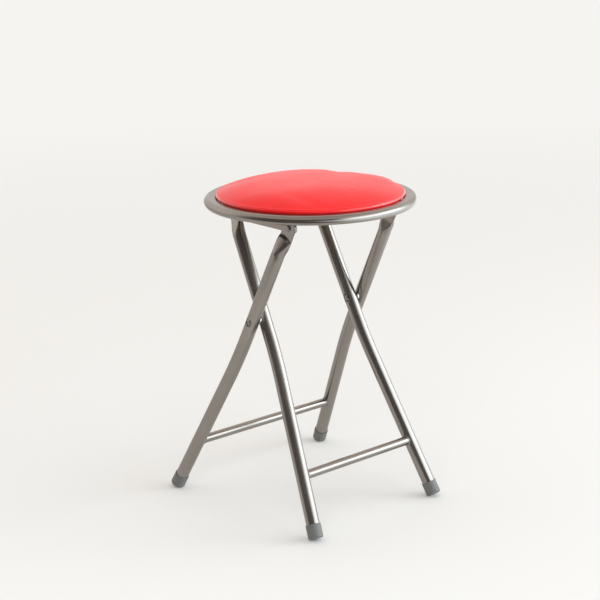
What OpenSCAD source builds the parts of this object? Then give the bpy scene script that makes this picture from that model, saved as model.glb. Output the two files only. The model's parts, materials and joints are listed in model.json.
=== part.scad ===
// Folding stool with a round padded seat on two crossed tube frames.
// Lengths are in millimetres and angles in degrees. X runs along the fold axis, Z is up,
// and the origin is on the floor under the middle of the open stool.
// The outer frame stands with its feet towards +Y, the inner frame with its feet towards -Y.

/* [Seat ring] */
// Outside diameter of the ring round the seat
ring_d = 300; // [270:1:340]
// Width of the ring's flat-oval tube
ring_tube_w = 20; // [16:0.5:24]
// Height of the ring's flat-oval tube
ring_tube_h = 13; // [10:0.5:15]
// Wall of the ring's tube
ring_wall = 1.2; // [0.8:0.1:2]
// Height of the ring's middle above the seat hinge
ring_rise = 16.8; // [15.5:0.1:19]
// How far the seat's middle sits back from the leg pivots
seat_setback = 7.75; // [4:0.25:12]

/* [Padded seat] */
// Gap between the covered board and the ring
pad_gap = 2.8; // [1:0.1:5]
// Thickness of the seat board
board_t = 9; // [6:0.5:11]
// Thickness of the foam that wraps the board's edge
skirt_t = 2; // [1:0.1:4]
// How far the pad bulges out over the ring's inner edge
pad_overhang = 3.5; // [0:0.1:6]
// Height of the pad's shoulder above the ring's middle
shoulder_rise = 12.2; // [11:0.1:16]
// Radius of the rolled shoulder
shoulder_r = 4; // [2:0.1:5]
// Height of the crown above the shoulder
crown_h = 19; // [8:0.5:30]
// Fullness of the crown
crown_power = 2.6; // [2:0.1:4]
// Thickness of the cover
cover_t = 1; // [0.6:0.1:1.5]
// Width of the hem turned under the board
hem_w = 18; // [12:0.5:26]
// Staples in the hem
staple_count = 24; // [12:2:36]

/* [Tubes] */
// Outside diameter of the leg tubes
tube_d = 19; // [17:0.5:21]
// Wall of the leg tubes
tube_wall = 1.2; // [0.8:0.1:1.8]
// Diameter of the lower stretchers
stretcher_d = 13; // [9:0.5:14]
// Wall of the lower stretchers
stretcher_wall = 1; // [0.8:0.1:1.6]

/* [Frames] */
// Height of the leg pivots above the floor
pivot_h = 281.3; // [260:0.1:300]
// Lean of each frame from the upright, in degrees
tilt = 27.3; // [24:0.1:30]
// Distance between the middles of the outer legs at the pivots
outer_span = 205; // [190:1:225]
// Gap between an outer and an inner leg at their pivot
leg_gap = 2.1; // [1.6:0.1:4]
// Distance from a leg's pivot up to its seat hinge or rod
seat_reach = 162.4; // [150:0.1:175]
// Inward lean of the legs above the bend, in degrees
upper_lean = 1.7; // [0.5:0.1:2.4]
// Outward splay of the outer legs below the bend, in degrees
outer_splay = 8.6; // [5:0.1:11]
// Outward splay of the inner legs below the bend, in degrees
inner_splay = 7.1; // [4:0.1:8]
// Distance from the pivot down to the start of the bend
bend_drop = 24; // [16:1:40]
// Radius of the bend
bend_r = 750; // [400:10:850]
// Distance from the pivot down to the lower stretchers
stretcher_drop = 226; // [190:1:250]

/* [Crushed tube ends] */
// Thickness of a crushed end
plate_t = 2.8; // [2.4:0.1:3.6]
// Width of a crushed end
plate_w = 24; // [20:0.5:26]
// How far a crushed end lies inwards of its tube's middle
plate_inset = 2.8; // [0:0.1:4]
// Length of an outer leg's flat below its hole
flat_len = 19; // [17:0.5:26]
// Length over which an outer leg's round tube turns into the flat
crush_len = 25; // [12:0.5:34]
// Length of an inner leg's flat below its push nut
inner_flat_len = 0.5; // [0.5:0.5:6]
// Length over which an inner leg's round tube turns into the flat
inner_crush_len = 36; // [34:0.5:40]

/* [Pivots] */
// Diameter of all rivet shanks
rivet_d = 6; // [4:0.1:7]
// Diameter of all rivet heads
rivet_head_d = 9.6; // [8:0.1:10.4]
// Height of a rivet head
rivet_head_h = 2; // [1.2:0.1:2.6]
// Radial clearance of a rivet that something turns on
rivet_play = 0.06; // [0.02:0.01:0.1]
// Width of the dimple in an outer leg that a crossing rivet's head sits in
dimple_d = 11; // [10.6:0.1:12]
// Depth of that dimple
dimple_depth = 3; // [2.6:0.1:3.2]
// Diameter of the spacer between crossing legs
spacer_d = 12; // [8.5:0.1:14]

/* [Seat rest] */
// Width of a seat rail
rail_w = 15; // [12:0.5:18]
// Sheet thickness of a seat rail
rail_t = 1.5; // [1:0.1:2]
// Height of a seat rail
rail_h = 21; // [20:0.5:26]
// Rounding of a rail's lower corners
rail_corner = 6; // [2:0.5:8]
// How far a rail's outer wall runs on past the seat hinge
rail_nose = 12; // [9:0.5:14]
// How much later than the outer wall a rail's inner wall starts
rail_setback = 19; // [12:0.5:30]
// How far a rail's walls run on past the rest rod
rail_heel = 10; // [8:0.5:14]
// Diameter of the rest rod
rod_d = 8; // [6:0.1:9]
// Outside diameter of a push nut on the rod
push_nut_d = 12; // [12:0.5:20]
// Thickness of a push nut
push_nut_t = 1; // [0.6:0.1:1.6]
// Clearance round the rod in a hook
hook_play = 0.3; // [0.2:0.05:0.6]
// Slant of a hook's way in, in degrees from the upright
hook_slant = 35; // [32:1:42]
// Diameter of the screws through the rails
screw_d = 4; // [3:0.1:5]
// Head diameter of these screws
screw_head_d = 8; // [6.5:0.1:10]
// Head height of these screws
screw_head_h = 2.4; // [1.6:0.1:3]
// Depth of these screws in the board
screw_bite = 7; // [4:0.5:9]
// Distance between neighbouring screws
screw_pitch = 48; // [40:1:54]
// Screws in each rail
screw_count = 3; // [2:1:3]

/* [Feet] */
// Outside diameter of a foot cap
cap_d = 21.4; // [20.5:0.1:24]
// Length of a foot cap
cap_len = 20; // [14:0.5:28]
// Thickness of a foot cap's base
cap_base = 5; // [3.5:0.5:8]
// Rounding of a foot cap's lower edge
cap_round = 2.5; // [1.5:0.1:3]
// Height of the flat worn on the cap where it stands
foot_flat = 0.5; // [0.3:0.1:0.8]

/* [Hidden] */

$fn = 96;
hull_fn = 32;
left = -1;
right = 1;
outer = 1;
inner = -1;

// Clearances and overruns shared by several pieces
seat_gap = 0.3;
weld_gap = 0.1;
fit_gap = 0.05;
cut = 1;
lap = 0.5;
lap_skin = 0.15;

steel = "#8d8781";
dark_steel = "#6f6a66";
bright = "#c9c9c6";
red = "#e3222b";

// Legs, seen in their own leaning plane, with the pivot at zero
tube_r = tube_d / 2;
bore_r = tube_r - tube_wall;
outer_x = outer_span / 2;
inner_x = outer_x - tube_d - leg_gap;
inner_flat = push_nut_d / 2 + inner_flat_len;
function round_top(flat, crush) = (seat_reach - flat - crush) / cos(upper_lean);
hinge_in = seat_reach * tan(upper_lean) + plate_inset;
bend_x = bend_drop * sin(upper_lean) + bend_r * cos(upper_lean);
bend_z = -bend_drop * cos(upper_lean) + bend_r * sin(upper_lean);

// Feet: the cap's rounded lower edge reaches the floor and is worn flat there
cap_r = cap_d / 2;
function foot_cos(splay) = cos(tilt) * cos(splay);
function foot_end_h(splay) =
    (cap_r - cap_round) * sqrt(1 - pow(foot_cos(splay), 2))
    + cap_round * (1 - foot_cos(splay)) - foot_flat;
function foot_end_z(splay) = (foot_end_h(splay) - pivot_h) / cos(tilt);
function lower_x(splay) = bend_x - bend_r * cos(splay);
function lower_z(splay) = bend_z - bend_r * sin(splay);
function lower_len(splay) = (lower_z(splay) - foot_end_z(splay)) / cos(splay);

// Distance of a leg from its pivot's plane, at a depth below the bend
function splay_x(splay, drop) = lower_x(splay) + (drop + lower_z(splay)) * tan(splay);

// The pivots stand where the overall box is centred on the origin
foot_lean_y = sin(tilt) * cos(outer_splay);
foot_reach_y = -foot_end_z(outer_splay) * sin(tilt)
    + cap_round * (1 - foot_lean_y) + (cap_r - cap_round) * sqrt(1 - pow(foot_lean_y, 2));
pivot_y = (seat_setback + ring_d / 2 - foot_reach_y) / 2;
seat_y = pivot_y - seat_setback;
hinge_y = pivot_y - seat_reach * sin(tilt);
rod_y = pivot_y + seat_reach * sin(tilt);
hinge_h = pivot_h + seat_reach * cos(tilt);

// Seat parts
ring_h = hinge_h + ring_rise;
ring_mid_r = (ring_d - ring_tube_w) / 2;
ring_in_r = ring_d / 2 - ring_tube_w;
rail_drop = 6.5;
rail_top = hinge_h + rail_h - rail_drop;
rail_x = outer_x - hinge_in - plate_t / 2 - seat_gap;
rail_mid_x = rail_x - rail_w / 2;
hem_h = rail_top + seat_gap;
edge_r = ring_in_r - pad_gap;
board_r = edge_r - cover_t - skirt_t;
board_h = hem_h + cover_t + fit_gap;
board_top = board_h + board_t;
shoulder_h = ring_h + shoulder_rise;
pad_r = ring_in_r + pad_overhang;

// Seat rest
rod_r = rod_d / 2;
rod_half = rail_x - rail_t / 3;
inner_plate_x = inner_x - hinge_in;
hook_r = rod_r + hook_play;

// Staples
staple_l = 9;
staple_w = 1.2;
staple_t = 0.6;
staple_bite = 6;
staple_pitch_r = board_r - hem_w / 2;

// Mirrors a piece made for the right side
module side(s) {
    mirror([s == left ? 1 : 0, 0, 0]) children();
}

// Puts a piece drawn in a frame's own plane, with its pivot at zero, in place
module in_frame(f) {
    translate([0, pivot_y, pivot_h]) rotate([f * tilt, 0, 0]) children();
}

// A leg's straight upper part, from a depth below the pivot to a height above it
module upper_part(r, low, high) {
    rotate([0, -upper_lean, 0]) translate([0, 0, -low]) cylinder(r = r, h = low + high);
}

// A leg's straight lower part, down to a distance from the foot cap's end
module lower_part(r, splay, end) {
    translate([lower_x(splay), 0, lower_z(splay)]) rotate([0, -splay, 0])
        translate([0, 0, end - lower_len(splay)]) cylinder(r = r, h = lower_len(splay) - end);
}

// The gentle bend between them, let a little way into both
module bend_part(splay) {
    lap_angle = 180 * lap / (PI * bend_r);
    translate([bend_x, 0, bend_z]) rotate([90, 0, 0]) rotate([0, 0, 180 + upper_lean - lap_angle])
        rotate_extrude(angle = splay - upper_lean + 2 * lap_angle) translate([bend_r, 0]) difference() {
            circle(tube_r - lap_skin);
            circle(bore_r + lap_skin);
        }
}

// The crushed top of a leg: the round tube turns into a flat plate across the fold axis
module crushed_end(hole_r, flat, crush) {
    hull() {
        rotate([0, -upper_lean, 0]) translate([0, 0, round_top(flat, crush) - lap])
            cylinder(r = tube_r - 2 * lap_skin, h = fit_gap, $fn = hull_fn);
        translate([-hinge_in - plate_t / 2, -plate_w / 2, seat_reach - flat - fit_gap])
            cube([plate_t, plate_w, fit_gap]);
    }
    translate([-hinge_in - plate_t / 2, 0, seat_reach]) rotate([90, 0, 90]) linear_extrude(plate_t)
        difference() {
            union() {
                translate([-plate_w / 2, -flat - lap]) square([plate_w, flat + lap]);
                circle(d = plate_w);
            }
            circle(hole_r);
        }
}

// Outer leg: the pivot rivet passes both walls, and its head lies in a dimple pressed in the outer one
module outer_leg(s) {
    top = round_top(flat_len, crush_len);
    cup_x = tube_r - dimple_depth;
    color(steel) side(s) in_frame(outer) translate([outer_x, 0, 0]) {
        difference() {
            upper_part(tube_r, bend_drop, top);
            difference() {
                upper_part(bore_r, bend_drop + cut, top - tube_wall);
                translate([cup_x - tube_wall, 0, 0]) rotate([0, 90, 0])
                    cylinder(d = dimple_d + 2 * tube_wall, h = tube_r);
            }
            translate([cup_x, 0, 0]) rotate([0, 90, 0]) cylinder(d = dimple_d, h = tube_r);
            translate([-tube_r - cut, 0, 0]) rotate([0, 90, 0]) cylinder(d = rivet_d, h = tube_d + cut);
        }
        bend_part(outer_splay);
        lower_tube(outer_splay);
        crushed_end(rivet_d / 2, flat_len, crush_len);
    }
}

// Inner leg: it turns on the pivot rivet, which passes both walls
module inner_leg(s) {
    top = round_top(inner_flat, inner_crush_len);
    color(dark_steel) side(s) in_frame(inner) translate([inner_x, 0, 0]) {
        difference() {
            upper_part(tube_r, bend_drop, top);
            upper_part(bore_r, bend_drop + cut, top - tube_wall);
            translate([-tube_r - cut, 0, 0]) rotate([0, 90, 0])
                cylinder(r = rivet_d / 2 + rivet_play, h = tube_d + 2 * cut);
        }
        bend_part(inner_splay);
        lower_tube(inner_splay);
        crushed_end(rod_r, inner_flat, inner_crush_len);
    }
}

// Lower straight part of a leg as an open tube that ends inside its foot cap
module lower_tube(splay) {
    difference() {
        lower_part(tube_r, splay, cap_base + fit_gap);
        translate([lower_x(splay), 0, lower_z(splay)]) rotate([0, -splay, 0])
            translate([0, 0, -lower_len(splay)]) cylinder(r = bore_r, h = lower_len(splay) + cut);
    }
}

// Lower stretcher between two legs, coped to them
module stretcher(x, splay) {
    half = x + splay_x(splay, stretcher_drop);
    difference() {
        translate([-half, 0, -stretcher_drop]) rotate([0, 90, 0]) cylinder(d = stretcher_d, h = 2 * half);
        translate([-half, 0, -stretcher_drop]) rotate([0, 90, 0])
            cylinder(d = stretcher_d - 2 * stretcher_wall, h = 2 * half);
        for (s = [left, right]) side(s) translate([x, 0, 0]) lower_part(tube_r + weld_gap, splay, cap_len);
    }
}

module outer_stretcher() {
    color(steel) in_frame(outer) stretcher(outer_x, outer_splay);
}

module inner_stretcher() {
    color(steel) in_frame(inner) stretcher(inner_x, inner_splay);
}

// Domed rivet head, its flat face at zero and its dome towards +Z
module rivet_head() {
    head_r = rivet_head_d / 2;
    ball_r = (pow(head_r, 2) + pow(rivet_head_h, 2)) / (2 * rivet_head_h);
    intersection() {
        translate([0, 0, rivet_head_h - ball_r]) sphere(ball_r);
        cylinder(r = head_r, h = rivet_head_h);
    }
}

// Rivets that join the outer legs' crushed ends to the rails' outer walls
module seat_pivot_rivets() {
    out_x = outer_x - hinge_in + plate_t / 2;
    in_x = rail_x - rail_t - seat_gap / 2;
    color(bright) for (s = [left, right]) side(s) translate([0, hinge_y, hinge_h]) rotate([0, 90, 0]) {
        translate([0, 0, in_x]) cylinder(d = rivet_d, h = out_x - in_x);
        translate([0, 0, out_x]) rivet_head();
        translate([0, 0, in_x]) mirror([0, 0, 1]) rivet_head();
    }
}

// Rivets through the crossings, each with its outer head in the outer leg's dimple
module leg_pivot_rivets() {
    in_x = inner_x - tube_r - seat_gap;
    out_x = outer_x + tube_r - dimple_depth;
    color(bright) for (s = [left, right]) side(s) translate([0, pivot_y, pivot_h]) rotate([0, 90, 0]) {
        translate([0, 0, in_x]) cylinder(d = rivet_d, h = out_x - in_x);
        translate([0, 0, out_x]) rivet_head();
        translate([0, 0, in_x]) mirror([0, 0, 1]) rivet_head();
    }
}

// Spacers between crossing legs: flat towards the inner leg, hollowed to the outer leg's tube
module leg_spacers() {
    flat_x = inner_x + tube_r + seat_gap;
    color(bright) for (s = [left, right]) side(s) difference() {
        translate([flat_x, pivot_y, pivot_h]) rotate([0, 90, 0]) cylinder(d = spacer_d, h = outer_x - flat_x);
        in_frame(outer) translate([outer_x, 0, 0]) upper_part(tube_r + fit_gap, spacer_d, spacer_d);
        translate([flat_x - cut, pivot_y, pivot_h]) rotate([0, 90, 0])
            cylinder(d = rivet_d, h = outer_x - flat_x);
    }
}

// Rod through the inner legs' crushed ends, which the seat's hooks rest on
module seat_rest_rod() {
    color(bright) translate([-rod_half, rod_y, hinge_h]) rotate([0, 90, 0]) cylinder(r = rod_r, h = 2 * rod_half);
}

// Push nuts that hold the inner legs apart on the rod
module rod_push_nuts() {
    nut_x = inner_plate_x - plate_t / 2 - push_nut_t;
    color(bright) for (s = [left, right]) side(s) translate([nut_x, rod_y, hinge_h]) rotate([0, 90, 0])
        difference() {
            cylinder(d = push_nut_d, h = push_nut_t);
            translate([0, 0, -cut]) cylinder(r = rod_r, h = push_nut_t + 2 * cut);
        }
}

// Seat ring: a hoop of flat-oval tube
module oval(w, h) {
    for (x = [h - w, w - h]) translate([x / 2, 0]) circle(d = h);
    square([w - h, h], center = true);
}

module seat_ring() {
    color(steel) translate([0, seat_y, ring_h]) rotate_extrude() translate([ring_mid_r, 0]) difference() {
        oval(ring_tube_w, ring_tube_h);
        oval(ring_tube_w - 2 * ring_wall, ring_tube_h - 2 * ring_wall);
    }
}

// Way of the rod into a hook, drawn with the rod's middle at zero
module hook_way() {
    low = rail_drop + cut;
    left_y = -hook_r * cos(hook_slant);
    left_z = hook_r * sin(hook_slant);
    circle(hook_r);
    polygon([[hook_r, 0], [hook_r, -low], [left_y - (low + left_z) * tan(hook_slant), -low], [left_y, left_z]]);
}

// A rail's wall seen from the side, with both lower corners rounded
module wall_outline(len) {
    translate([0, rail_corner]) square([len, rail_h - rail_corner]);
    translate([rail_corner, 0]) square([len - 2 * rail_corner, rail_corner]);
    for (y = [rail_corner, len - rail_corner]) translate([y, rail_corner]) circle(rail_corner);
}

// One wall of a rail, from its inner face at x and its start at y to the heel past the rest rod
module rail_wall(x, y) {
    translate([x, y, rail_top - rail_h]) rotate([90, 0, 90])
        linear_extrude(rail_t) wall_outline(rod_y + rail_heel - y);
}

// Seat rail: a channel open below, with a web that runs on to the ring. Its inner wall starts later
module rail(s) {
    color(steel) side(s) difference() {
        intersection() {
            union() {
                rail_wall(rail_x - rail_t, hinge_y - rail_nose);
                rail_wall(rail_x - rail_w, hinge_y - rail_nose + rail_setback);
                translate([rail_x - rail_w, seat_y - ring_mid_r, rail_top - rail_t])
                    cube([rail_w, 2 * ring_mid_r, rail_t]);
            }
            translate([0, seat_y, 0]) cylinder(r = ring_in_r - seat_gap, h = rail_top);
        }
        translate([rail_x - rail_w - cut, rod_y, hinge_h]) rotate([90, 0, 90])
            linear_extrude(rail_w + 2 * cut) hook_way();
        translate([rail_x - rail_t - cut, hinge_y, hinge_h]) rotate([0, 90, 0])
            cylinder(r = rivet_d / 2 + rivet_play, h = rail_t + 2 * cut);
        for (y = screw_places()) translate([rail_mid_x, y, rail_top - rail_t - cut])
            cylinder(d = screw_d + seat_gap, h = rail_t + 2 * cut);
    }
}

// Screws up through the rails into the board
function screw_places() = [for (i = [0 : screw_count - 1]) seat_y + (i - (screw_count - 1) / 2) * screw_pitch];

module rail_screws() {
    color(bright) for (s = [left, right], y = screw_places()) side(s)
        translate([rail_mid_x, y, rail_top - rail_t - screw_head_h]) {
            cylinder(d = screw_head_d, h = screw_head_h);
            cylinder(d = screw_d, h = board_h + screw_bite - rail_top + rail_t + screw_head_h);
        }
}

// Half section of the padded seat's outside, or of a skin's depth inside it.
// The crown falls with a power of the radius, a roll makes the shoulder, and half a cosine wave
// draws the side in from there to the board's edge.
crown_steps = 14;
side_steps = 6;
function pad_curve(skin) =
    let (roll = shoulder_r - skin, roll_x = pad_r - shoulder_r, roll_z = shoulder_h - shoulder_r)
    let (edge = edge_r - skin)
    [
        each [for (i = [0 : crown_steps]) let (share = sin(90 * i / crown_steps))
            [roll_x * share, roll_z + roll + crown_h * (1 - pow(share, crown_power))]],
        each [for (i = [1 : side_steps]) let (a = 90 * i / side_steps)
            [roll_x + roll * sin(a), roll_z + roll * cos(a)]],
        each [for (i = [1 : side_steps]) let (share = i / side_steps)
            [edge + (roll_x + roll - edge) * (1 + cos(180 * share)) / 2, roll_z - (roll_z - board_h) * share]]
    ];
function backwards(points) = [for (i = [len(points) - 1 : -1 : 0]) points[i]];

// Vinyl cover: a skin over the pad and the board's edge, with its hem turned under.
// A rail screw that meets the hem has a hole in it.
module seat_cover() {
    hem_top = hem_h + cover_t;
    color(red) difference() {
        translate([0, seat_y, 0]) rotate_extrude() polygon([
            each pad_curve(0),
            [edge_r, hem_h],
            [board_r - hem_w, hem_h],
            [board_r - hem_w, hem_top],
            [edge_r - cover_t, hem_top],
            each backwards(pad_curve(cover_t))
        ]);
        for (s = [left, right], y = screw_places()) translate([s * rail_mid_x, y, hem_h - cut])
            cylinder(d = screw_d + seat_gap, h = cover_t + 2 * cut);
    }
}

// Foam pad on the board and round its edge
module seat_foam() {
    color("#e8dfc4") translate([0, seat_y, 0]) rotate_extrude() polygon([
        each pad_curve(cover_t + fit_gap),
        [board_r + fit_gap, board_h],
        [board_r + fit_gap, board_top + fit_gap],
        [0, board_top + fit_gap]
    ]);
}

module seat_board() {
    color("#b08d57") translate([0, seat_y, board_h]) difference() {
        cylinder(r = board_r, h = board_t);
        for (s = [left, right], y = screw_places()) translate([s * rail_mid_x, y - seat_y, -cut])
            cylinder(d = screw_d, h = screw_bite + cut);
    }
}

// Staples in the hem, left out where a rail crosses it
module cover_staples() {
    color(bright) translate([0, seat_y, 0]) for (i = [0 : staple_count - 1]) {
        a = 360 * (i + 1 / 2) / staple_count;
        clear = abs(abs(staple_pitch_r * cos(a)) - rail_mid_x) > (rail_w + staple_l) / 2 + seat_gap;
        if (clear) rotate([0, 0, a]) translate([staple_pitch_r, 0, hem_h - staple_t]) {
            translate([-staple_w / 2, -staple_l / 2, 0]) cube([staple_w, staple_l, staple_t]);
            for (e = [-staple_l / 2, staple_l / 2 - staple_w]) translate([-staple_w / 2, e, 0])
                cube([staple_w, staple_w, staple_t + cover_t + staple_bite]);
        }
    }
}

// Foot cap: a plastic cup pushed over the tube's end, worn flat where it stands
module foot_cap(s, f, x, splay) {
    color("#7c8079") difference() {
        side(s) in_frame(f) translate([x, 0, 0])
            translate([lower_x(splay), 0, lower_z(splay)]) rotate([0, -splay, 0])
                translate([0, 0, -lower_len(splay)]) rotate_extrude() difference() {
                    union() {
                        square([cap_r - cap_round, cap_len]);
                        translate([0, cap_round]) square([cap_r, cap_len - cap_round]);
                        translate([cap_r - cap_round, cap_round]) circle(cap_round);
                    }
                    translate([0, cap_base]) square([tube_r + fit_gap, cap_len]);
                    translate([-cap_r, 0]) square([cap_r, cap_len]);
                }
        translate([-ring_d, -ring_d, -cap_len]) cube([2 * ring_d, 2 * ring_d, cap_len]);
    }
}

seat_cover();
seat_foam();
seat_board();
cover_staples();
seat_ring();
rail(left);  // left_rail
rail(right);  // right_rail
rail_screws();
seat_pivot_rivets();
outer_leg(left);  // outer_leg_left
outer_leg(right);  // outer_leg_right
outer_stretcher();
inner_leg(left);  // inner_leg_left
inner_leg(right);  // inner_leg_right
inner_stretcher();
leg_pivot_rivets();
leg_spacers();
seat_rest_rod();
rod_push_nuts();
foot_cap(left, outer, outer_x, outer_splay);  // outer_foot_left
foot_cap(right, outer, outer_x, outer_splay);  // outer_foot_right
foot_cap(left, inner, inner_x, inner_splay);  // inner_foot_left
foot_cap(right, inner, inner_x, inner_splay);  // inner_foot_right
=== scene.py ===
"""Folding stool with a round padded seat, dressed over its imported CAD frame.

Lengths are metres in the frame of the CAD model: X along the fold axis, Z up.
"""

import json

import bpy
import numpy as np
from bpy.props import FloatProperty, FloatVectorProperty, IntProperty, PointerProperty
from mathutils import Matrix, Vector


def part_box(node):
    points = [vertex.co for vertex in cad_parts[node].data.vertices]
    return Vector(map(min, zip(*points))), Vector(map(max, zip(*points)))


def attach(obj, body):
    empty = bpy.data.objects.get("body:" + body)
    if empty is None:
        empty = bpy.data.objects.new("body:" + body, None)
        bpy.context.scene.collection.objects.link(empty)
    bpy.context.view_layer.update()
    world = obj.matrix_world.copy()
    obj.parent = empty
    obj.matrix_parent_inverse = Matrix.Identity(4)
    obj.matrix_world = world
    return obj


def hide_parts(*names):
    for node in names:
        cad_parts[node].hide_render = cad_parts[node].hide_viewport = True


bl_info = {
    "name": "Folding Stool",
    "version": (1, 0, 0),
    "blender": (4, 5, 0),
    "location": "3D View > Sidebar > Stool",
    "description": "Builds the visible pieces, finishes and stage of a round folding stool",
    "category": "Object",
}

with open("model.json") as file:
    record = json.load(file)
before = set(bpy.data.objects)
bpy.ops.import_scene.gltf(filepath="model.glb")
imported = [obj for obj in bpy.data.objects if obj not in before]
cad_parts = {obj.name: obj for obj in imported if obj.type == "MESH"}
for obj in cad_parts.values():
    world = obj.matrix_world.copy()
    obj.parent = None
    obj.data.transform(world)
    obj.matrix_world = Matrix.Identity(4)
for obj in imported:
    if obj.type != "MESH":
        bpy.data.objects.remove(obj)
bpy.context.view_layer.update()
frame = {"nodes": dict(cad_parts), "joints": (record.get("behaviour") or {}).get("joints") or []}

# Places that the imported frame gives
JOINT_AT = {j["name"]: np.array(j["pos_m"]) for j in frame["joints"]}
PIVOT, HINGE = JOINT_AT["leg_fold"], JOINT_AT["seat_fold"]
ROD = np.array([0.0, 2 * PIVOT[1] - HINGE[1], HINGE[2]])
TILT = np.arctan2(PIVOT[1] - HINGE[1], HINGE[2] - PIVOT[2])
REACH = np.hypot(PIVOT[1] - HINGE[1], HINGE[2] - PIVOT[2])
RING_LOW, RING_HIGH = (np.array(c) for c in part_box("seat_ring"))
SEAT, RING_R = (RING_LOW + RING_HIGH) / 2, (RING_HIGH[0] - RING_LOW[0]) / 2
BOARD_LOW, BOARD_HIGH = (np.array(c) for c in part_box("seat_board"))
BOARD_R = (BOARD_HIGH[0] - BOARD_LOW[0]) / 2
RAIL_X, _, RAIL_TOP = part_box("right_rail")[1]
HEM_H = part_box("seat_cover")[0].z

# Level directions from the stool to the camera and to its right, and a hair's gap between still surfaces
TOWARDS = (-0.645, -0.764, 0.0)
ASIDE = (0.764, -0.645, 0.0)
HAIR = 0.00005
OUTER, INNER = 1, -1
RIGHT, LEFT = 1, -1
FRAMES = ((OUTER, "outer"), (INNER, "inner"))
SIDES = ((RIGHT, "right"), (LEFT, "left"))


# Sizes and colours that a user may change

def length(name, description, value, low=0.0, high=1.0):
    return FloatProperty(name=name, description=description, default=value, min=low, max=high,
                         unit="LENGTH", precision=4)


def angle(name, description, degrees):
    return FloatProperty(name=name, description=description, default=np.radians(degrees),
                         subtype="ANGLE", unit="ROTATION")


def colour(name, description, value):
    return FloatVectorProperty(name=name, description=description, default=value, size=3,
                               subtype="COLOR", min=0.0, max=1.0)


def share(name, description, value, high=1.0):
    return FloatProperty(name=name, description=description, default=value, min=0.0, max=high)


class StoolTubes(bpy.types.PropertyGroup):
    tube_r: length("Leg radius", "Outside radius of the leg tubes", 0.0095)
    wall: length("Leg wall", "Wall of the leg tubes", 0.0012)
    outer_x: length("Outer leg distance", "From the middle to an outer leg at its pivot", 0.1025)
    gap: length("Leg gap", "Gap between crossing legs", 0.0021)
    lean: angle("Upper lean", "Inward lean of the legs above the bend", 1.7)
    outer_splay: angle("Outer splay", "Outward splay of the outer legs below the bend", 8.6)
    inner_splay: angle("Inner splay", "Outward splay of the inner legs below the bend", 7.1)
    bend_drop: length("Bend start", "From the pivot down to the start of the bend", 0.024)
    bend_r: length("Bend radius", "Radius of the bend", 0.75)
    plate_t: length("Flat thickness", "Thickness of a leg's crushed end", 0.0028)
    plate_w: length("Flat width", "Width of a leg's crushed end", 0.024)
    plate_inset: length("Flat inset", "How far a flat lies inwards of its tube's middle", 0.0028)
    flat_len: length("Outer flat length", "From an outer leg's hole down to the end of the crush", 0.019)
    crush_len: length("Outer crush length", "Length over which an outer leg turns flat", 0.025)
    inner_flat: length("Inner flat length", "From an inner leg's hole down to the end of the crush", 0.0065)
    inner_crush: length("Inner crush length", "Length over which an inner leg turns flat", 0.036)
    step_len: length("Step height", "From the crush's start up to an outer leg's step", 0.0315)
    step_run: length("Step run", "Length of the steep step on an outer leg", 0.0050)
    step_h: length("Step size", "Height of that step over the flat", 0.0044)
    step_bow: length("Step bow", "How much lower the step lies at the leg's edges", 0.0048)
    dimple_r: length("Dimple radius", "Flat bottom of the dimple at a crossing rivet", 0.0050)
    dimple_depth: length("Dimple depth", "Depth of that dimple", 0.003)
    dimple_wall: length("Dimple wall", "Width over which the dimple rises by its depth", 0.0014)
    stretcher_r: length("Stretcher radius", "Outside radius of the lower stretchers", 0.0065)
    stretcher_drop: length("Stretcher drop", "From the pivot down to the stretchers", 0.226)
    bead_r: length("Weld size", "Radius of the weld beads", 0.0011)
    cap_r: length("Cap radius", "Outside radius of the foot caps", 0.0107)
    cap_len: length("Cap length", "Length of the foot caps", 0.020)
    cap_base: length("Cap base", "Thickness of a cap's base", 0.005)
    cap_round: length("Cap rounding", "Rounding of a cap's lower edge", 0.0025)
    foot_flat: length("Worn flat", "Height of the flat worn where a cap stands", 0.0005)
    ribs: IntProperty(name="Ribs", description="Flutes round a foot cap", default=16, min=6, max=40)


class StoolHardware(bpy.types.PropertyGroup):
    rivet_r: length("Rivet radius", "Radius of a rivet's shank", 0.0030)
    head_r: length("Head radius", "Radius of a rivet's head", 0.0048)
    head_h: length("Head height", "Height of a rivet's head", 0.0020)
    seat_gap: length("Running gap", "Gap between parts that turn on each other", 0.0003)
    rod_r: length("Rod radius", "Radius of the rest rod", 0.0040)
    nut_r: length("Push nut radius", "Outside radius of a push nut", 0.0060)
    nut_t: length("Push nut thickness", "Space that a push nut takes along the rod", 0.0010)
    spacer_r: length("Spacer radius", "Radius of the spacers at the crossings", 0.0060)
    rail_w: length("Rail width", "Width of a seat rail", 0.015)
    rail_t: length("Rail sheet", "Sheet thickness of a seat rail", 0.0015)
    rail_h: length("Rail height", "Height of a seat rail", 0.021)
    rail_nose: length("Rail nose", "How far a rail's outer wall runs on past the hinge", 0.012)
    rail_setback: length("Rail setback", "How far behind its outer wall a rail's inner wall starts", 0.019)
    rail_heel: length("Rail heel", "How far a rail's walls run on past the rod", 0.010)
    rail_corner: length("Rail corner", "Rounding of a rail's lower corners", 0.006)
    rail_bend: length("Rail bend", "Outside radius of a rail's folded edges", 0.0024)
    hook_r: length("Hook radius", "Radius of the notch round the rod", 0.0043)
    hook_slant: angle("Hook slant", "Slant of a hook's way in, from the upright", 35)
    screw_r: length("Screw radius", "Radius of a rail screw's shank", 0.0020)
    screw_head_r: length("Screw head radius", "Radius of a rail screw's head", 0.0040)
    screw_head_h: length("Screw head height", "Height of a rail screw's head", 0.0024)
    screw_bite: length("Screw depth", "Depth of a rail screw in the board", 0.0070)
    screw_pitch: length("Screw pitch", "Distance between neighbouring rail screws", 0.048)


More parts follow.
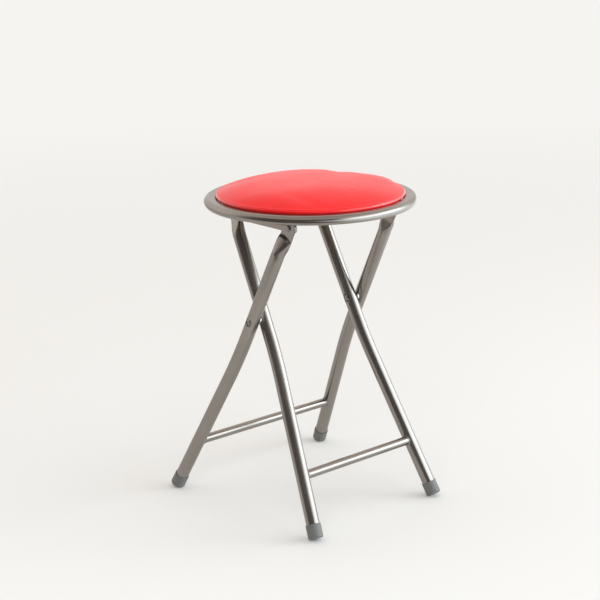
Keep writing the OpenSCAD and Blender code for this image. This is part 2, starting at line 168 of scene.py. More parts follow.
class StoolSeat(bpy.types.PropertyGroup):
    ring_w: length("Ring width", "Width of the ring's flat-oval tube", 0.020)
    ring_h: length("Ring height", "Height of the ring's flat-oval tube", 0.013)
    pad_gap: length("Pad gap", "Gap between the covered board and the ring", 0.0028)
    overhang: length("Pad overhang", "How far the pad bulges over the ring's inner edge", 0.0035)
    shoulder_rise: length("Shoulder rise", "From the ring's middle up to the pad's shoulder", 0.0122)
    shoulder_r: length("Shoulder roll", "Radius of the rolled shoulder", 0.0040)
    crown_h: length("Crown height", "From the shoulder up to the middle of the pad", 0.0174)
    crown_power: share("Crown fullness", "Power with which the crown falls", 3.4, 6.0)
    cover_t: length("Cover thickness", "Thickness of the vinyl", 0.001)
    hem_w: length("Hem width", "Width of the hem under the board", 0.018)
    dent_d: length("Dent depth", "Depth of the soft dent at the pad's edge", 0.0024)
    swell: length("Swell", "How far the simulated cover may move", 0.0050)


class StoolFinish(bpy.types.PropertyGroup):
    paint: colour("Frame paint", "Silver-grey paint of the frame", (0.272, 0.243, 0.219))
    vinyl: colour("Vinyl", "Red vinyl of the seat", (0.97, 0.014, 0.016))
    # Painted shade: the hem under the board takes this dark colour for the shade under the seat
    hem: colour("Hem", "Dark binding on the hem under the board", (0.050, 0.044, 0.040))
    zinc: colour("Zinc", "Plated spacers, rod and screws", (0.66, 0.65, 0.62))
    rivet: colour("Rivet steel", "Dull steel of the four rivets", (0.26, 0.25, 0.235))
    cap: colour("Cap plastic", "Grey plastic of the foot caps", (0.150, 0.152, 0.140))
    board: colour("Board", "Raw particle board under the seat", (0.33, 0.24, 0.15))
    foam: colour("Foam", "Foam inside the pad", (0.84, 0.77, 0.58))
    floor: colour("Floor", "Pale studio floor", (0.862, 0.856, 0.840))
    backdrop: colour("Backdrop", "Pale studio backdrop", (0.915, 0.905, 0.880))
    room: colour("Room", "Warm tint of the ceiling and the room", (1.0, 0.905, 0.845))
    window: colour("Window light", "Cool tint of the window", (0.83, 0.94, 1.0))


class StoolStage(bpy.types.PropertyGroup):
    focal: FloatProperty(name="Focal length", description="Lens in millimetres on a 36 mm frame",
                         default=88.08, min=20, max=200)
    slide: FloatProperty(name="Sideways shift", description="Shift of the lens, as a share of the frame",
                         default=-0.0008, min=-0.1, max=0.1, precision=4)
    key: share("Key light", "Brightness of the soft key light", 3.0, 60.0)
    front: share("Front fill", "Brightness of the wide fill light over the camera", 1.6, 60.0)
    window: share("Window", "Brightness of the wide window at the right", 4.2, 20.0)
    fill: share("Ceiling", "Brightness of the ceiling", 1.05, 4.0)
    zenith: share("Ceiling overhead", "Brightness of the ceiling right above the stool", 0.66, 4.0)
    glow: share("Lit backdrop", "Brightness of the backdrop behind the stool", 1.20, 4.0)
    # Painted light: level of the glowing floor patch beside the window, seen only in reflections
    pool: share("Lit floor", "Brightness of the floor beside the window, as steel mirrors it", 2.2, 20.0)
    # Also the level of the painted shade on the floor in front of the stool, seen only in reflections
    shade: share("Dark room", "Brightness of the dark room round the camera", 0.13, 4.0)
    floor_r: length("Floor radius", "Radius of the studio floor", 16.0, 1.0, 60.0)


GROUPS = {"stool_tubes": StoolTubes, "stool_hardware": StoolHardware, "stool_seat": StoolSeat,
          "stool_finish": StoolFinish, "stool_stage": StoolStage}


def tubes():
    return bpy.context.scene.stool_tubes


def hardware():
    return bpy.context.scene.stool_hardware


def seat():
    return bpy.context.scene.stool_seat


def finish():
    return bpy.context.scene.stool_finish


# Surfaces as grids of points

NO_FANS = np.empty((0, 3), int)


def circle(count):
    """Angles spread evenly round a full turn."""
    return np.linspace(0, 2 * np.pi, count, endpoint=False)


def at(*coordinates):
    """Points from their coordinates, each spread to the shape that they share."""
    return np.stack(np.broadcast_arrays(*coordinates), -1)


def steps(*stretches):
    """Numbers through stretches of start, end and count, each of which begins where the last one ends."""
    lines = [np.linspace(*stretch) for stretch in stretches]
    return np.concatenate([lines[0], *(line[1:] for line in lines[1:])])


def smooth(x):
    """Eased step: 0 below 0, 1 above 1, with no kink between."""
    x = np.clip(x, 0, 1)
    return x * x * (3 - 2 * x)


def mix(a, b, t):
    """Value that lies a share t of the way from a to b."""
    return a + (b - a) * t


def angles(start, end, count):
    """Evenly spread angles between two that are given in degrees."""
    return np.radians(np.linspace(start, end, count))


def arc(middle, r, start, end, count):
    """Points of a circular arc in a profile: middle (along, radius), angles in degrees from the axis."""
    a = angles(start, end, count)
    return at(middle[0] + r * np.cos(a), middle[1] + r * np.sin(a))


def mirrored(rows, side):
    """Rows made for the right side, mirrored in X for the left."""
    return rows * np.array([side, 1, 1])


def outwards(points, quads, fans=NO_FANS):
    """Closed skin whose faces are turned round if the volume that they enclose is negative."""
    tris = np.concatenate([quads[:, [0, 1, 2]], quads[:, [0, 2, 3]], fans])
    a, b, c = (points[tris[:, k]] - points.mean(0) for k in range(3))
    if np.einsum("ij,ij->i", a, np.cross(b, c)).sum() < 0:
        quads, fans = quads[:, ::-1], fans[:, ::-1]
    return points, quads, fans


def shell(rows, hoop=False):
    """Closed skin over a grid whose rows are closed loops of points.

    A hoop joins its last row to its first one. Otherwise both ends are closed by a pole, a point
    at the middle of the end row.
    """
    m, n, _ = rows.shape
    here, points, fans = np.arange(m * n).reshape(m, n), rows.reshape(-1, 3), NO_FANS
    if hoop:
        here = np.concatenate([here, here[:1]])
    across = np.roll(here, -1, axis=1)
    if not hoop:
        fans = np.concatenate([at(across[0], here[0], m * n), at(here[-1], across[-1], m * n + 1)])
        points = np.concatenate([points, [rows[0].mean(0), rows[-1].mean(0)]])
    return outwards(points, at(here[:-1], across[:-1], across[1:], here[1:]).reshape(-1, 4), fans)


def pair(rows, hoop=False):
    """Closed skins of a shape that is made for the right side, and of its mirror image."""
    return [shell(mirrored(rows, side), hoop) for side in (LEFT, RIGHT)]


def soften(mesh, sharp):
    """Shades a mesh smooth, except where faces meet at more than a sharp angle in degrees."""
    mesh.shade_smooth()
    mesh.set_sharp_from_angle(angle=np.radians(sharp))


def linked(name, data):
    """New object with this data, in the scene."""
    thing = bpy.data.objects.new(name, data)
    bpy.context.scene.collection.objects.link(thing)
    return thing


def mesh_object(name, skins, sharp=38.0):
    """Mesh object at the origin from closed skins."""
    starts = np.cumsum([0] + [len(skin[0]) for skin in skins])
    faces = []
    for k in (1, 2):
        for skin, start in zip(skins, starts):
            faces += (skin[k] + start).tolist()
    mesh = bpy.data.meshes.new(name)
    mesh.from_pydata(np.concatenate([skin[0] for skin in skins]).tolist(), [], faces)
    soften(mesh, sharp)
    return linked(name, mesh)


def carve(piece, skins, sharp):
    """Cuts closed skins out of a piece, and leaves a plain mesh."""
    tool = mesh_object("carving_tool", skins)
    cut = piece.modifiers.new("cut", "BOOLEAN")
    cut.operation, cut.solver, cut.object = "DIFFERENCE", "EXACT", tool
    bpy.context.view_layer.update()
    whole = bpy.data.meshes.new_from_object(piece.evaluated_get(bpy.context.evaluated_depsgraph_get()))
    piece.modifiers.clear()
    old = piece.data
    whole.name = old.name
    piece.data = whole
    bpy.data.meshes.remove(old)
    bpy.data.objects.remove(tool)
    soften(whole, sharp)


def add_piece(name, skins, body, slot, material, *nodes, sharp, cut=()):
    """Makes a piece from closed skins, less those that are cut out of it.

    It gets its body and its material, and stands for the CAD nodes that are named.
    Its edges stay hard where faces meet at more than the sharp angle in degrees. The slot is not used.
    """
    piece = mesh_object(name, skins, sharp)
    if cut:
        carve(piece, cut, sharp)
    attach(piece, body)
    if nodes:
        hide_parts(*nodes)
    piece.data.materials.clear()
    piece.data.materials.append(material)
    return piece


def lathe(profile, columns=64, axis="X", middle=(0, 0, 0), radius=None):
    """Grid of a profile carried round an axis: each row is one profile point turned through a circle.

    The profile lists distance along the axis and radius. A function may change the radius with the angle.
    """
    profile, a = np.asarray(profile, float), circle(columns)
    along, r = profile[:, 0:1], np.repeat(profile[:, 1:2], columns, 1)
    if radius is not None:
        r = radius(r, a[None, :], along)
    x, y = r * np.cos(a), r * np.sin(a)
    return (at(along, x, y) if axis == "X" else at(x, y, along)) + np.asarray(middle)


# Shapes of the legs, stretchers, caps and rivets

def in_frame(rows, which):
    """Carries points from a frame's own leaning plane, with the pivot at zero, to their place.

    They turn about X by the frame's lean and move to the pivot.
    """
    x, y, z = np.moveaxis(rows, -1, 0)
    c, s = np.cos(which * TILT), np.sin(which * TILT)
    return at(x, y * c - z * s, y * s + z * c) + PIVOT


def leg_x(which):
    """Distance of a leg from the middle at its pivot."""
    t = tubes()
    return t.outer_x if which == OUTER else t.outer_x - 2 * t.tube_r - t.gap


def flat_in():
    """How far a leg's flat lies inwards at the hole, from the leg's place at the pivot."""
    return REACH * np.tan(tubes().lean) + tubes().plate_inset


def below_bend(which):
    """Splay of a leg below its bend, and the running length from the pivot down to the bend's end."""
    t = tubes()
    splay = t.outer_splay if which == OUTER else t.inner_splay
    return splay, t.bend_drop + t.bend_r * (splay - t.lean)


def centre_line(which, along):
    """Middle line of a leg: a straight, one arc and a straight, with a running length down from the pivot.

    The angle grows from the lean to the splay over the arc, and what runs past the arc's ends goes straight.
    """
    t = tubes()
    a = np.clip(t.lean + (along - t.bend_drop) / t.bend_r, t.lean, below_bend(which)[0])
    past = along - (t.bend_drop + t.bend_r * (a - t.lean))
    bend_x = t.bend_drop * np.sin(t.lean) + t.bend_r * np.cos(t.lean)
    bend_z = -t.bend_drop * np.cos(t.lean) + t.bend_r * np.sin(t.lean)
    x = bend_x - t.bend_r * np.cos(a) + past * np.sin(a)
    z = bend_z - t.bend_r * np.sin(a) - past * np.cos(a)
    return x, z, a


def foot_end(which):
    """Running length down to a cap's end, from the height at which its rounded edge meets the floor."""
    t, (splay, bend_end) = tubes(), below_bend(which)
    c = np.cos(TILT) * np.cos(splay)
    height = (t.cap_r - t.cap_round) * np.sqrt(1 - c * c) + t.cap_round * (1 - c) - t.foot_flat
    end_z = (height - PIVOT[2]) / np.cos(TILT)
    return bend_end + (centre_line(which, np.array(bend_end))[1] - end_z) / np.cos(splay)


def tube_rows(which, along, r, columns):
    """Rings of a leg's round part: circles square to the middle line."""
    x, z, a = (v[:, None] for v in centre_line(which, along))
    out, deep = r * np.cos(circle(columns)), r * np.sin(circle(columns))
    return at(x + out * np.cos(a), deep, z + out * np.sin(a))


def pressed(rows, thick):
    """Presses the dimple into the +X side of a leg's rings, a depth of metal under its outside.

    The dimple's floor rises past its radius with a power of the distance. Where it is lower than the tube,
    the tube takes it, with a rounded rim between.
    """
    t, steepness, rim, far = tubes(), 1.6, 0.00022, 60
    x, y, z = np.moveaxis(rows, -1, 0)
    past = np.maximum(np.hypot(y, z) - t.dimple_r, 0) / t.dimple_wall
    floor = t.tube_r - thick - t.dimple_depth + t.dimple_depth * past ** steepness
    low, high = np.minimum(x, floor), np.maximum(x, floor)
    taken = low - rim * np.log1p(np.exp(-np.minimum((high - low) / rim, far)))
    return at(np.where(x > 0, taken, x), y, z)


def flat_of(which):
    """Length of a leg's flat below its hole, and the length of the crush below that."""
    t = tubes()
    return (t.flat_len, t.crush_len) if which == OUTER else (t.inner_flat, t.inner_crush)


def crushed_rows(which, columns):
    """Rings of a leg's crushed top, one for each height.

    The section is a superellipse whose power, half width and two half thicknesses run from the round tube
    to the flat. On an outer leg the outer wall first slopes down to a low step, which then drops to the
    flat along a bowed line.
    """
    t, round_power, flat_power, past_step = tubes(), 2.0, 5.0, 0.0008
    flat_len, crush_len = flat_of(which)
    top = REACH - flat_len
    low = top - crush_len
    step = low + t.step_len
    slope_end = step - t.step_run
    below_nose = steps((low, slope_end - t.step_bow, 26), (slope_end - t.step_bow, step + past_step, 26),
                       (step + past_step, REACH, 9))[1:]
    nose_a = angles(0, 88.5, 18)[1:]
    z = np.concatenate([below_nose, REACH + t.plate_w / 2 * np.sin(nose_a)])[:, None]
    narrow = np.concatenate([np.ones(len(below_nose)), np.cos(nose_a)])[:, None]
    u = (z - low) / (top - low)
    s = smooth(u) if which == OUTER else smooth(u) ** 1.25
    middle = mix(-z * np.tan(t.lean), -flat_in(), s)
    half_w = mix(t.tube_r, t.plate_w / 2, smooth(u * 0.9)) * narrow
    power = mix(round_power, flat_power, s)
    a = circle(columns)[None, :]
    y = half_w * np.sign(np.sin(a)) * np.abs(np.sin(a)) ** (2 / power)
    inside = outside = mix(t.tube_r, t.plate_t / 2, s)
    if which == OUTER:
        bowed = z + t.step_bow * (y / (t.plate_w / 2)) ** 2
        face = -flat_in() + t.plate_t / 2
        slope, fall = (bowed - low) / (slope_end - low), (bowed - slope_end) / t.step_run
        wall = mix(-low * np.tan(t.lean) + t.tube_r, face + t.step_h, np.clip(slope, 0, 1) ** 1.45)
        outside = np.maximum(mix(wall, face, smooth(fall)) - middle, t.plate_t / 2)
        power = np.where(np.cos(a) > 0, mix(round_power, flat_power, smooth(u * 0.8 - 0.15)), power)
    x = middle + np.where(np.cos(a) >= 0, outside, -inside) * np.abs(np.cos(a)) ** (2 / power)
    lift = (1 - s) * np.sin(t.lean) * t.tube_r * np.cos(a)
    return at(x, y, z + lift * (u < 1))


def leg_skin(which, side, columns=96):
    """One closed skin: down the bore, round the open end inside the cap, up the outside and over the flat.

    The dimple of an outer leg faces away from the stool's middle, and that of an inner leg faces it.
    """
    t, (_, bend_end) = tubes(), below_bend(which)
    end = foot_end(which) - t.cap_base - HAIR
    round_top = (REACH - sum(flat_of(which))) / np.cos(t.lean)
    near, bend = 0.011, t.bend_drop
    inside = steps((-round_top + t.wall, -near, 8), (-near, near, 34), (near, bend, 4), (bend, bend_end, 14),
                   (bend_end, end, 8))
    outside = steps((end, bend_end, 16), (bend_end, bend, 24), (bend, near, 4), (near, -near, 46),
                    (-near, -round_top, 12))
    facing = np.array([which, 1, 1])
    rows = np.concatenate([
        pressed(tube_rows(which, inside, t.tube_r - t.wall, columns) * facing, t.wall) * facing,
        pressed(tube_rows(which, outside, t.tube_r, columns) * facing, 0) * facing,
        crushed_rows(which, columns)])
    return shell(mirrored(in_frame(rows + (leg_x(which), 0, 0), which), side))


def bar(start, end, r, columns=48):
    """Closed bar along X between two places, used as a carving tool."""
    ring = at(0, r * np.cos(circle(columns)), r * np.sin(circle(columns)))
    return np.stack([ring + start, ring + end])


def stretcher_skin(which):
    """Stretcher tube along X, its end rows drawn on to the legs' surfaces, and its right end row.

    At each angle the end lies where the leg's cylinder has that point's depth and distance from its axis.
    """
    t, a = tubes(), circle(48)
    x0, z0, a0 = centre_line(which, np.array(foot_end(which)))
    y, z = t.stretcher_r * np.cos(a), -t.stretcher_drop + t.stretcher_r * np.sin(a)
    reach = leg_x(which) + x0 - (z - z0) * np.tan(a0) - np.sqrt(t.tube_r ** 2 - y ** 2) / np.cos(a0)
    spread = np.array([-1, -0.985, -0.9, -0.6, -0.3, 0, 0.3, 0.6, 0.9, 0.985, 1])[:, None]
    rows = in_frame(at(spread * reach, y, z), which)
    return shell(rows), rows[-1]


def bead(line, r, ripples, columns=10):
    """Weld bead: a small round tube along a closed line, its radius rippled like a run of drops."""
    tangent = np.roll(line, -1, 0) - np.roll(line, 1, 0)
    tangent /= np.linalg.norm(tangent, axis=1, keepdims=True)
    out = line - line.mean(0)
    out -= tangent * np.einsum("ij,ij->i", out, tangent)[:, None]
    out /= np.linalg.norm(out, axis=1, keepdims=True)
    up = np.cross(tangent, out)
    phase = circle(len(line))
    size = (r * (1 + 0.13 * np.sin(ripples * phase) + 0.08 * np.sin(3 * phase + 1)))[:, None, None]
    a = circle(columns)[None, :, None]
    return line[:, None] + size * (np.cos(a) * out[:, None] + np.sin(a) * up[:, None])


def finer(line, times=3):
    """Closed line with evenly spread points put between its own."""
    n = len(line)
    k = np.arange(n * times) / times
    i = k.astype(int)
    return mix(line[i], line[(i + 1) % n], (k - i)[:, None])


def cap_skin(which, side):
    """Foot cap: a cup whose outside has shallow flutes, cut flat where it meets the floor.

    The profile runs from the middle of the base over the rounded edge, up the outside, over a rounded lip
    and down the inside. The flutes take the troughs of a sine wave, raised to a power, off the radius
    between the base and the lip.
    """
    t, lip, deep, outermost = tubes(), 0.0006, 0.00034, 0.0004
    start, start_fade, end, end_fade, roundness = 0.0026, 0.0016, 0.0168, 0.0012, 0.7
    bore, bevel_w, bevel_h = t.tube_r + HAIR, 0.0002, 0.0003
    hollow = [[0.0004, 0.0006], [0.0004, 0.0030], [0.0002, 0.0042], [0, 0.0052]]
    profile = np.concatenate([
        hollow, [[0, t.cap_r - t.cap_round]],
        arc((t.cap_round, t.cap_r - t.cap_round), t.cap_round, 180, 90, 9)[1:],
        at(np.linspace(0.0032, 0.0178, 14), t.cap_r), arc((t.cap_len - lip, t.cap_r - lip), lip, 90, 0, 5),
        [[t.cap_len, bore + bevel_w], [t.cap_len - bevel_h, bore], [t.cap_base, bore],
         [t.cap_base, 0.0008]]])

    def flutes(r, a, z):
        """Radius less the flutes, where it lies in the outermost layer."""
        depth = deep * smooth((z - start) / start_fade) * (1 - smooth((z - end) / end_fade))
        wave = np.abs(np.sin(t.ribs * a / 2)) ** roundness
        return np.where(r > t.cap_r - outermost, r - depth * (1 - wave), r)

    x, y, z = np.moveaxis(lathe(profile, 192, "Z", radius=flutes), -1, 0)
    x0, z0, a0 = centre_line(which, np.array(foot_end(which)))
    rows = at(leg_x(which) + x0 + x * np.cos(a0) - z * np.sin(a0), y, z0 + x * np.sin(a0) + z * np.cos(a0))
    rows = mirrored(in_frame(rows, which), side)
    rows[..., 2] = np.maximum(rows[..., 2], 0)
    return shell(rows)


def domed_head(h, r):
    """Half profile of a pressed rivet head: a low dome that falls with a power of the radius."""
    a = np.linspace(0.02, 1, 12)
    return at(h * (1 - 0.86 * a ** 2.6), r * 0.965 * a)


def rolled_head(h, r):
    """Half profile of a formed rivet end: a rolled rim, part of a flattened circle, round a small hollow."""
    a = angles(155, 0, 12)
    roll_r, rim = 0.36 * r, 0.60 * r
    roll_h = 0.72 * roll_r
    hollow = [[h * 0.18, 0.0001], [h * 0.18, 0.16 * r], [h * 0.30, 0.235 * r]]
    return np.concatenate([hollow, at(h - roll_h + roll_h * np.sin(a), rim + roll_r * np.cos(a))])


def rivet_profile(start, end, low_head, high_head, r):
    """Whole rivet from pole to pole: a head at the low end, the shank, and a head at the high end."""
    under, root = low_head[-1, 1] * 0.985, r * 1.001
    shank = [[start, under], [start, root], [start + HAIR, r], [end - HAIR, r], [end, root], [end, under]]
    return np.concatenate([low_head * [-1, 1] + [start, 0], shank, high_head[::-1] + [end, 0]])


# Materials

class Nodes:
    """Short way to add shader nodes and link them."""

    def __init__(self, tree):
        self.tree = tree
        tree.nodes.clear()

    def fill(self, socket, value):
        """Links a socket to another one, or sets its value."""
        if isinstance(value, bpy.types.NodeSocket):
            self.tree.links.new(value, socket)
        else:
            socket.default_value = value

    def add(self, kind, values=None, **settings):
        node = self.tree.nodes.new("ShaderNode" + kind)
        for key, value in settings.items():
            setattr(node, key, value)
        for key, value in (values or {}).items():
            self.fill(node.inputs[key], value)
        return node

    def noise(self, place, scale, detail=3.0):
        return self.add("TexNoise", {"Vector": place, "Scale": scale, "Detail": detail}).outputs[0]

    def cells(self, place, scale, feature):
        return self.add("TexVoronoi", {"Vector": place, "Scale": scale}, feature=feature)

    def span(self, value, low, high, to_low=0.0, to_high=1.0, how="LINEAR"):
        """Runs from one value to another while the input runs from low to high."""
        values = {0: value, 1: low, 2: high, 3: to_low, 4: to_high}
        return self.add("MapRange", values, interpolation_type=how).outputs[0]

    def blend(self, factor, a, b):
        return self.add("Mix", {0: factor, 6: a, 7: b}, data_type="RGBA").outputs[2]

    def shades(self, cloud, tint, dark, light, low=0.35):
        """Runs from a darker to a lighter shade of a colour over the middle of a noise."""
        return self.blend(self.span(cloud, low, 1 - low), rgba(tint, dark), rgba(tint, light))

    def bump(self, height, distance, strength, **under):
        values = {"Height": height, "Distance": distance, "Strength": strength, **under}
        return self.add("Bump", values).outputs[0]

    def math(self, how, a, b=0.0):
        return self.add("Math", {0: a, 1: b}, operation=how).outputs[0]

    def times(self, a, b):
        return self.math("MULTIPLY", a, b)

    def rest(self, a):
        return self.math("SUBTRACT", 1.0, a)

    def upright(self, place):
        return self.add("SeparateXYZ", {0: place}).outputs[2]

    def along(self, place, way):
        return self.add("VectorMath", {0: place, 1: way}, operation="DOT_PRODUCT").outputs[1]

    def glow(self, kind, tint, strength):
        return self.add(kind, {"Color": tint, "Strength": strength}).outputs[0]

    def either(self, factor, a, b):
        return self.add("MixShader", {0: factor, 1: a, 2: b}).outputs[0]

    def seen(self):
        return self.add("LightPath").outputs["Is Camera Ray"]

    def surface(self, **values):
        """Principled surface. Names of its sockets are written with low lines for spaces."""
        values = {key.replace("_", " "): value for key, value in values.items()}
        self.add("OutputMaterial", {"Surface": self.add("BsdfPrincipled", values).outputs[0]})


def new_material(name):
    """Cleared material by this name, its nodes, and the place on the object."""
    material = bpy.data.materials.get(name) or bpy.data.materials.new(name)
    material.use_nodes = True
    nodes = Nodes(material.node_tree)
    return material, nodes, nodes.add("TexCoord").outputs["Object"]


def rgba(value, times=1.0):
    """Colour times a factor, at most white, with its alpha."""
    return (*(min(1.0, c * times) for c in value), 1.0)


def paint_finish():
    """Satin silver-grey paint: metal flakes, a faint orange-peel bump and small changes of gloss."""
    m, n, place = new_material("frame_paint")
    flake, cloud, peel = n.noise(place, 2600, 2), n.noise(place, 14), n.noise(place, 420, 2)
    tint = finish().paint
    tone = n.blend(n.span(flake, 0.3, 0.7, 0, 0.22), n.shades(cloud, tint, 0.93, 1.07), rgba(tint, 1.45))
    n.surface(Base_Color=tone, Metallic=0.92, Roughness=n.span(cloud, 0.3, 0.7, 0.20, 0.26),
              Specular_Tint=(0.62, 0.59, 0.58, 1.0), Coat_Weight=0.3, Coat_Roughness=0.08,
              Normal=n.bump(peel, 0.00004, 0.12))
    return m


def vinyl_finish():
    """Upholstery vinyl: pressed grain, slow changes of gloss, glossier where the shoulder stretches it.

    The hem under the board is coloured dark as painted shade for the shaded underside of the seat, where the
    cover is red vinyl.
    """
    m, n, place = new_material("red_vinyl")
    height, grain = n.upright(place), n.cells(place, 950.0, "SMOOTH_F1").outputs[0]
    pores, cloud = n.noise(place, 1500), n.noise(place, 22, 4)
    painted_shade_top, shoulder = HEM_H + 0.0013, SEAT[2] + seat().shoulder_rise
    # Painted shade: below this height the hem under the board takes the dark hem colour
    tone = n.blend(n.span(height, painted_shade_top, painted_shade_top + 0.0003, 1, 0),
                   n.shades(cloud, finish().vinyl, 0.95, 1.03), rgba(finish().hem))
    n.surface(Base_Color=tone, Roughness=n.span(cloud, 0.3, 0.7, 0.34, 0.40), Specular_IOR_Level=0.20,
              Coat_Weight=n.span(height, shoulder - 0.0016, shoulder - 0.0004, 0.8, 0.05),
              Coat_Roughness=0.10,
              Normal=n.bump(pores, 0.00003, 0.18, Normal=n.bump(grain, 0.00007, 0.32)))
    return m


def zinc_finish():
    """Bright zinc plate with faint drawing marks."""
    m, n, place = new_material("bright_zinc")
    drawn = n.add("Mapping", {"Vector": place, "Scale": (1.0, 14.0, 14.0)}).outputs[0]
    marks, cloud = n.noise(drawn, 160), n.noise(place, 90)
    n.surface(Base_Color=n.shades(cloud, finish().zinc, 0.88, 1.08), Metallic=1.0,
              Roughness=n.span(marks, 0.3, 0.7, 0.17, 0.27), Normal=n.bump(marks, 0.00002, 0.3))
    return m


def rivet_finish():
    """Dull steel of the rivets, a little darker in soft clouds."""
    m, n, place = new_material("dull_rivet_steel")
    cloud, marks = n.noise(place, 260), n.noise(place, 900, 2)
    n.surface(Base_Color=n.shades(cloud, finish().rivet, 0.85, 1.12), Metallic=1.0,
              Roughness=n.span(cloud, 0.3, 0.7, 0.26, 0.34), Normal=n.bump(marks, 0.00002, 0.2))
    return m


def cap_finish():
    """Moulded grey plastic with a fine spark-eroded grain and scuffs low down."""
    m, n, place = new_material("foot_plastic")
    grain, cloud = n.noise(place, 2200, 2), n.noise(place, 120, 4)
    low = n.times(n.span(n.upright(place), 0.0, 0.007, 1, 0), n.span(cloud, 0.4, 0.62))
    tint = finish().cap
    tone = n.blend(n.times(low, 0.45), n.shades(cloud, tint, 0.93, 1.07, 0.3), rgba(tint, 1.6))
    n.surface(Base_Color=tone, Roughness=n.span(cloud, 0.3, 0.7, 0.42, 0.55),
              Normal=n.bump(grain, 0.00005, 0.3))
    return m


def board_finish():
    """Raw particle board: pressed chips in several browns."""
    m, n, place = new_material("particle_board")
    chips, large, dust = n.cells(place, 260.0, "F1"), n.noise(place, 55, 4), n.noise(place, 900)
    tint = finish().board
    value = n.add("SeparateColor", {0: chips.outputs[1]}).outputs[0]
    tone = n.blend(value, rgba(tint, 0.62), rgba(tint, 1.35))
    n.surface(Base_Color=n.blend(n.span(large, 0.4, 0.6, 0, 0.5), tone, rgba(tint, 0.8)), Roughness=0.86,
              Specular_IOR_Level=0.25, Normal=n.bump(n.math("ADD", chips.outputs[0], dust), 0.0004, 0.35))
    return m


def foam_finish():
    """Open-cell foam."""
    m, n, place = new_material("pad_foam")
    cells, tint = n.cells(place, 1100.0, "DISTANCE_TO_EDGE").outputs[0], finish().foam
    n.surface(Base_Color=n.blend(n.span(cells, 0.0, 0.2), rgba(tint, 0.7), rgba(tint, 1.05)), Roughness=0.95,
              Specular_IOR_Level=0.15, Normal=n.bump(cells, 0.0003, 0.5))
    return m


# Shapes of the pad

CELLS = 96
GRID = np.arange((CELLS + 1) ** 2).reshape(CELLS + 1, CELLS + 1)
GRID_FACES = at(GRID[:-1, :-1], GRID[1:, :-1], GRID[1:, 1:], GRID[:-1, 1:]).reshape(-1, 4)
RIM = np.concatenate([GRID[:-1, 0], GRID[-1, :-1], GRID[:0:-1, -1], GRID[0, :0:-1]])

# Soft forms on the crown, as seen from the front: place to the right of the seat's middle and away from the
# viewer, turn in degrees from the right, length and width of the bell, and height as a share of the dent
PAD_FORMS = (
    (-0.018, 0.092, 0, 0.042, 0.046, 0.35),
    (0.042, 0.100, 90, 0.042, 0.013, -0.95),
    (0.106, 0.052, 60, 0.040, 0.026, 1.05),
    (0.042, -0.064, 0, 0.058, 0.024, 0.50),
    (-0.062, -0.082, -15, 0.045, 0.022, 0.50),
    (-0.016, -0.100, -44, 0.030, 0.008, -0.40),
    (-0.092, 0.020, 12, 0.040, 0.013, -0.40),
)


def disc_grid(r_max):
    """Square grid laid on a disc: the larger coordinate is the radius, and their ratio the angle."""
    line = np.linspace(-1, 1, CELLS + 1)
    u, v = np.meshgrid(line, line, indexing="ij")
    wide = np.abs(u) >= np.abs(v)
    r = np.where(wide, u, v)
    with np.errstate(divide="ignore", invalid="ignore"):
        a = np.where(wide, np.pi / 4 * np.nan_to_num(v / u), np.pi / 2 - np.pi / 4 * np.nan_to_num(u / v))
    return r * np.cos(a) * r_max, r * np.sin(a) * r_max


def ring_inside():
    """Radius of the ring's inner edge."""
    return RING_R - seat().ring_w


def pad_profile(depth):
    """Half section of the pad below its crown: the rolled shoulder, then half a cosine wave to the board."""
    s = seat()
    edge, roll = ring_inside() - s.pad_gap - depth, s.shoulder_r - depth
    roll_x, roll_z = ring_inside() + s.overhang - s.shoulder_r, SEAT[2] + s.shoulder_rise - s.shoulder_r
    a = angles(0, 90, 9)[1:]
    k = np.linspace(0, 1, 12)[1:]
    shoulder = at(roll_x + roll * np.sin(a), roll_z + roll * np.cos(a))
    side = at(mix(edge, roll_x + roll, (1 + np.cos(np.pi * k)) / 2), mix(roll_z, BOARD_LOW[2], k))
    return roll_x, roll_z + roll, np.concatenate([shoulder, side])


def crown_heights(x, y, r_max):
    """Crown of the pad over its shoulder: it falls with a power of the radius, and bell shapes lie on it."""
    s, rim_share = seat(), 0.06
    r = np.hypot(x, y) / r_max
    rise = s.crown_h * (1 - np.minimum(r, 1) ** s.crown_power)
    fade = smooth((1 - r) / rim_share)
    sideways, away = x * ASIDE[0] + y * ASIDE[1], -x * TOWARDS[0] - y * TOWARDS[1]
    for px, py, turned, long, wide, high in PAD_FORMS:
        c, d = np.cos(np.radians(turned)), np.sin(np.radians(turned))
        u, v = sideways - px, away - py
        along, across = u * c + v * d, v * c - u * d
        rise = rise + high * s.dent_d * np.exp(-(along / long) ** 2 - (across / wide) ** 2) * fade
    return rise


def pad_skin(depth, drift=0.0):
    """Points of the pad's skin: a square grid laid on the crown, then rows round it down to the board's edge.

    Drift is what the cloth simulation moved each crown point by.
    """
    r_max, top, side = pad_profile(depth)
    x, y = disc_grid(r_max)
    crown = at(x, y, top + crown_heights(x, y, r_max)).reshape(-1, 3) + drift
    a = np.arctan2(crown[RIM, 1], crown[RIM, 0])
    return crown, at(side[:, 0:1] * np.cos(a), side[:, 0:1] * np.sin(a), side[:, 1:2])


def wrapped(crown, rows, under):
    """Closed skin of a crown's grid, rows of points round it, and a second grid that closes it."""
    down = np.concatenate(rows).reshape(-1, 3)
    start = len(crown) + len(down)
    between = len(crown) + np.arange(len(down)).reshape(-1, len(RIM))
    loops = np.concatenate([RIM[None], between, start + RIM[None]])
    after = np.roll(loops, -1, 1)
    sides = at(loops[:-1], loops[1:], after[1:], after[:-1]).reshape(-1, 4)
    points = np.concatenate([crown, down, under]) + (SEAT[0], SEAT[1], 0)
    return outwards(points, np.concatenate([GRID_FACES[:, ::-1], sides, GRID_FACES + start]))


